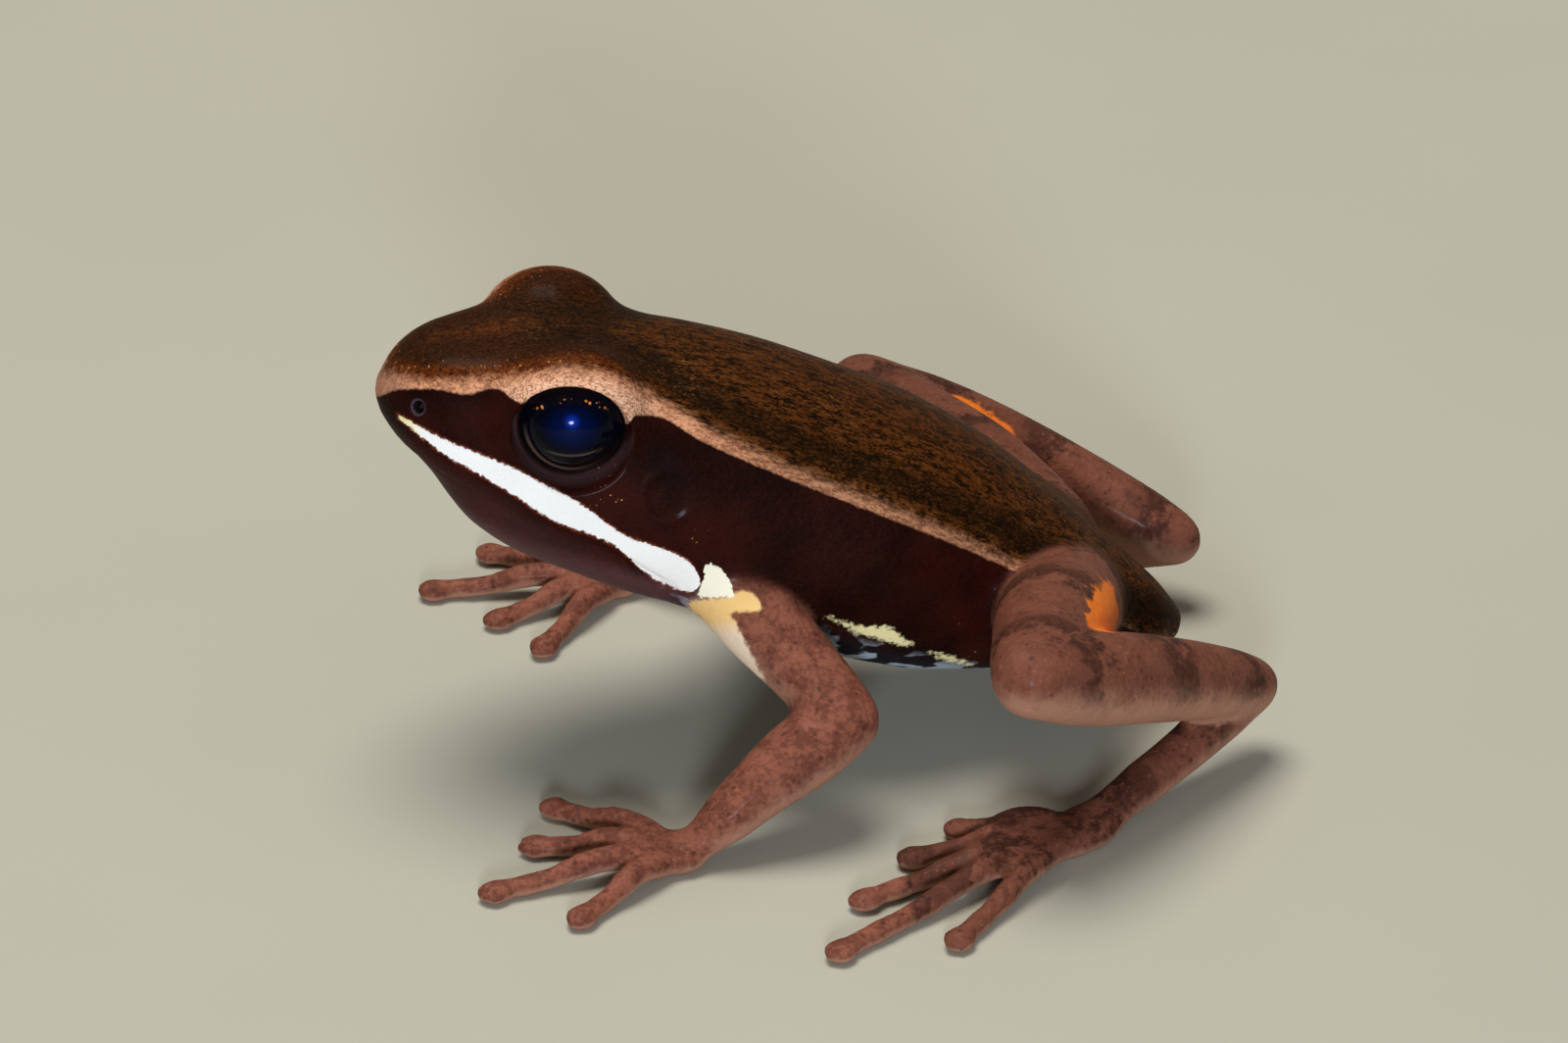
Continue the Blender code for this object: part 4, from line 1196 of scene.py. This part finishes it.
def aimed(name, data, place, target):
    # a lamp or camera at a place, turned to look at the target
    thing = newObject(name, data)
    thing.location = place
    thing.rotation_euler = Vector(np.subtract(target, place)).to_track_quat("-Z", "Y").to_euler()
    return thing


def buildLights(target):
    for name, look in lights.items():
        data = bpy.data.lights.new(name, "AREA")
        data.shape = "DISK"
        for key in ("size", "energy", "color"):
            setattr(data, key, look[key])
        aimed(name, data, look["location"], target)
    world = bpy.data.worlds.new("surround")
    world.use_nodes = True
    for key, value in surround.items():
        world.node_tree.nodes["Background"].inputs[key].default_value = value
    bpy.context.scene.world = world
    bpy.context.scene.view_settings.view_transform = "Standard"


def buildCamera(eyeCentre):
    # the camera stands at its distance from the near eye and looks at a point right of it and below it
    right, up, toward = viewAxes(camera["turn"], camera["rise"])
    aim = eyeCentre + (right * camera["aimRight"] - up * camera["aimDown"]) * mm
    data = bpy.data.cameras.new("camera")
    data.lens = camera["lens"]
    data.sensor_width = camera["sensor"]
    data.clip_start, data.clip_end = 0.01, 10.0
    place = eyeCentre + toward * camera["distance"]
    bpy.context.scene.camera = aimed("camera", data, place, aim)
    return aim


def fleshNodes():
    names = ["head", "lower_jaw", "torso"]
    for part in ("eardrum", "upper_arm", "forearm", "hand", "thigh", "shank", "tarsus", "foot"):
        names += [part + "_" + word for word in sides]
    return names


low, high = (np.array(corner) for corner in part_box("eye_left"))
eyeCentre = (low + high) / 2
offset = eyeCentre / mm - onBody(eye["centre"], -1)

skin, skinPoints, skinNormals = buildSkin()
print("skin built", len(skinPoints), "points")
markSkin(skin.data, skinPoints, skinNormals)
settle(skin.data, skinPoints + offset)
skin.data.materials.append(skinMaterial())
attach(skin, "root")
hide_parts(*fleshNodes())
print("skin marked")

wetEye = eyeMaterial()
for word in sides:
    ball = buildEye(word, offset)
    ball.data.materials.append(wetEye)
    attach(ball, "root")
    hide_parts("eye_" + word)
print("eyes built")

buildFloor()
aim = buildCamera(eyeCentre)
buildLights(aim)
print("floor, lights and camera placed")

bpy.context.view_layer.update()
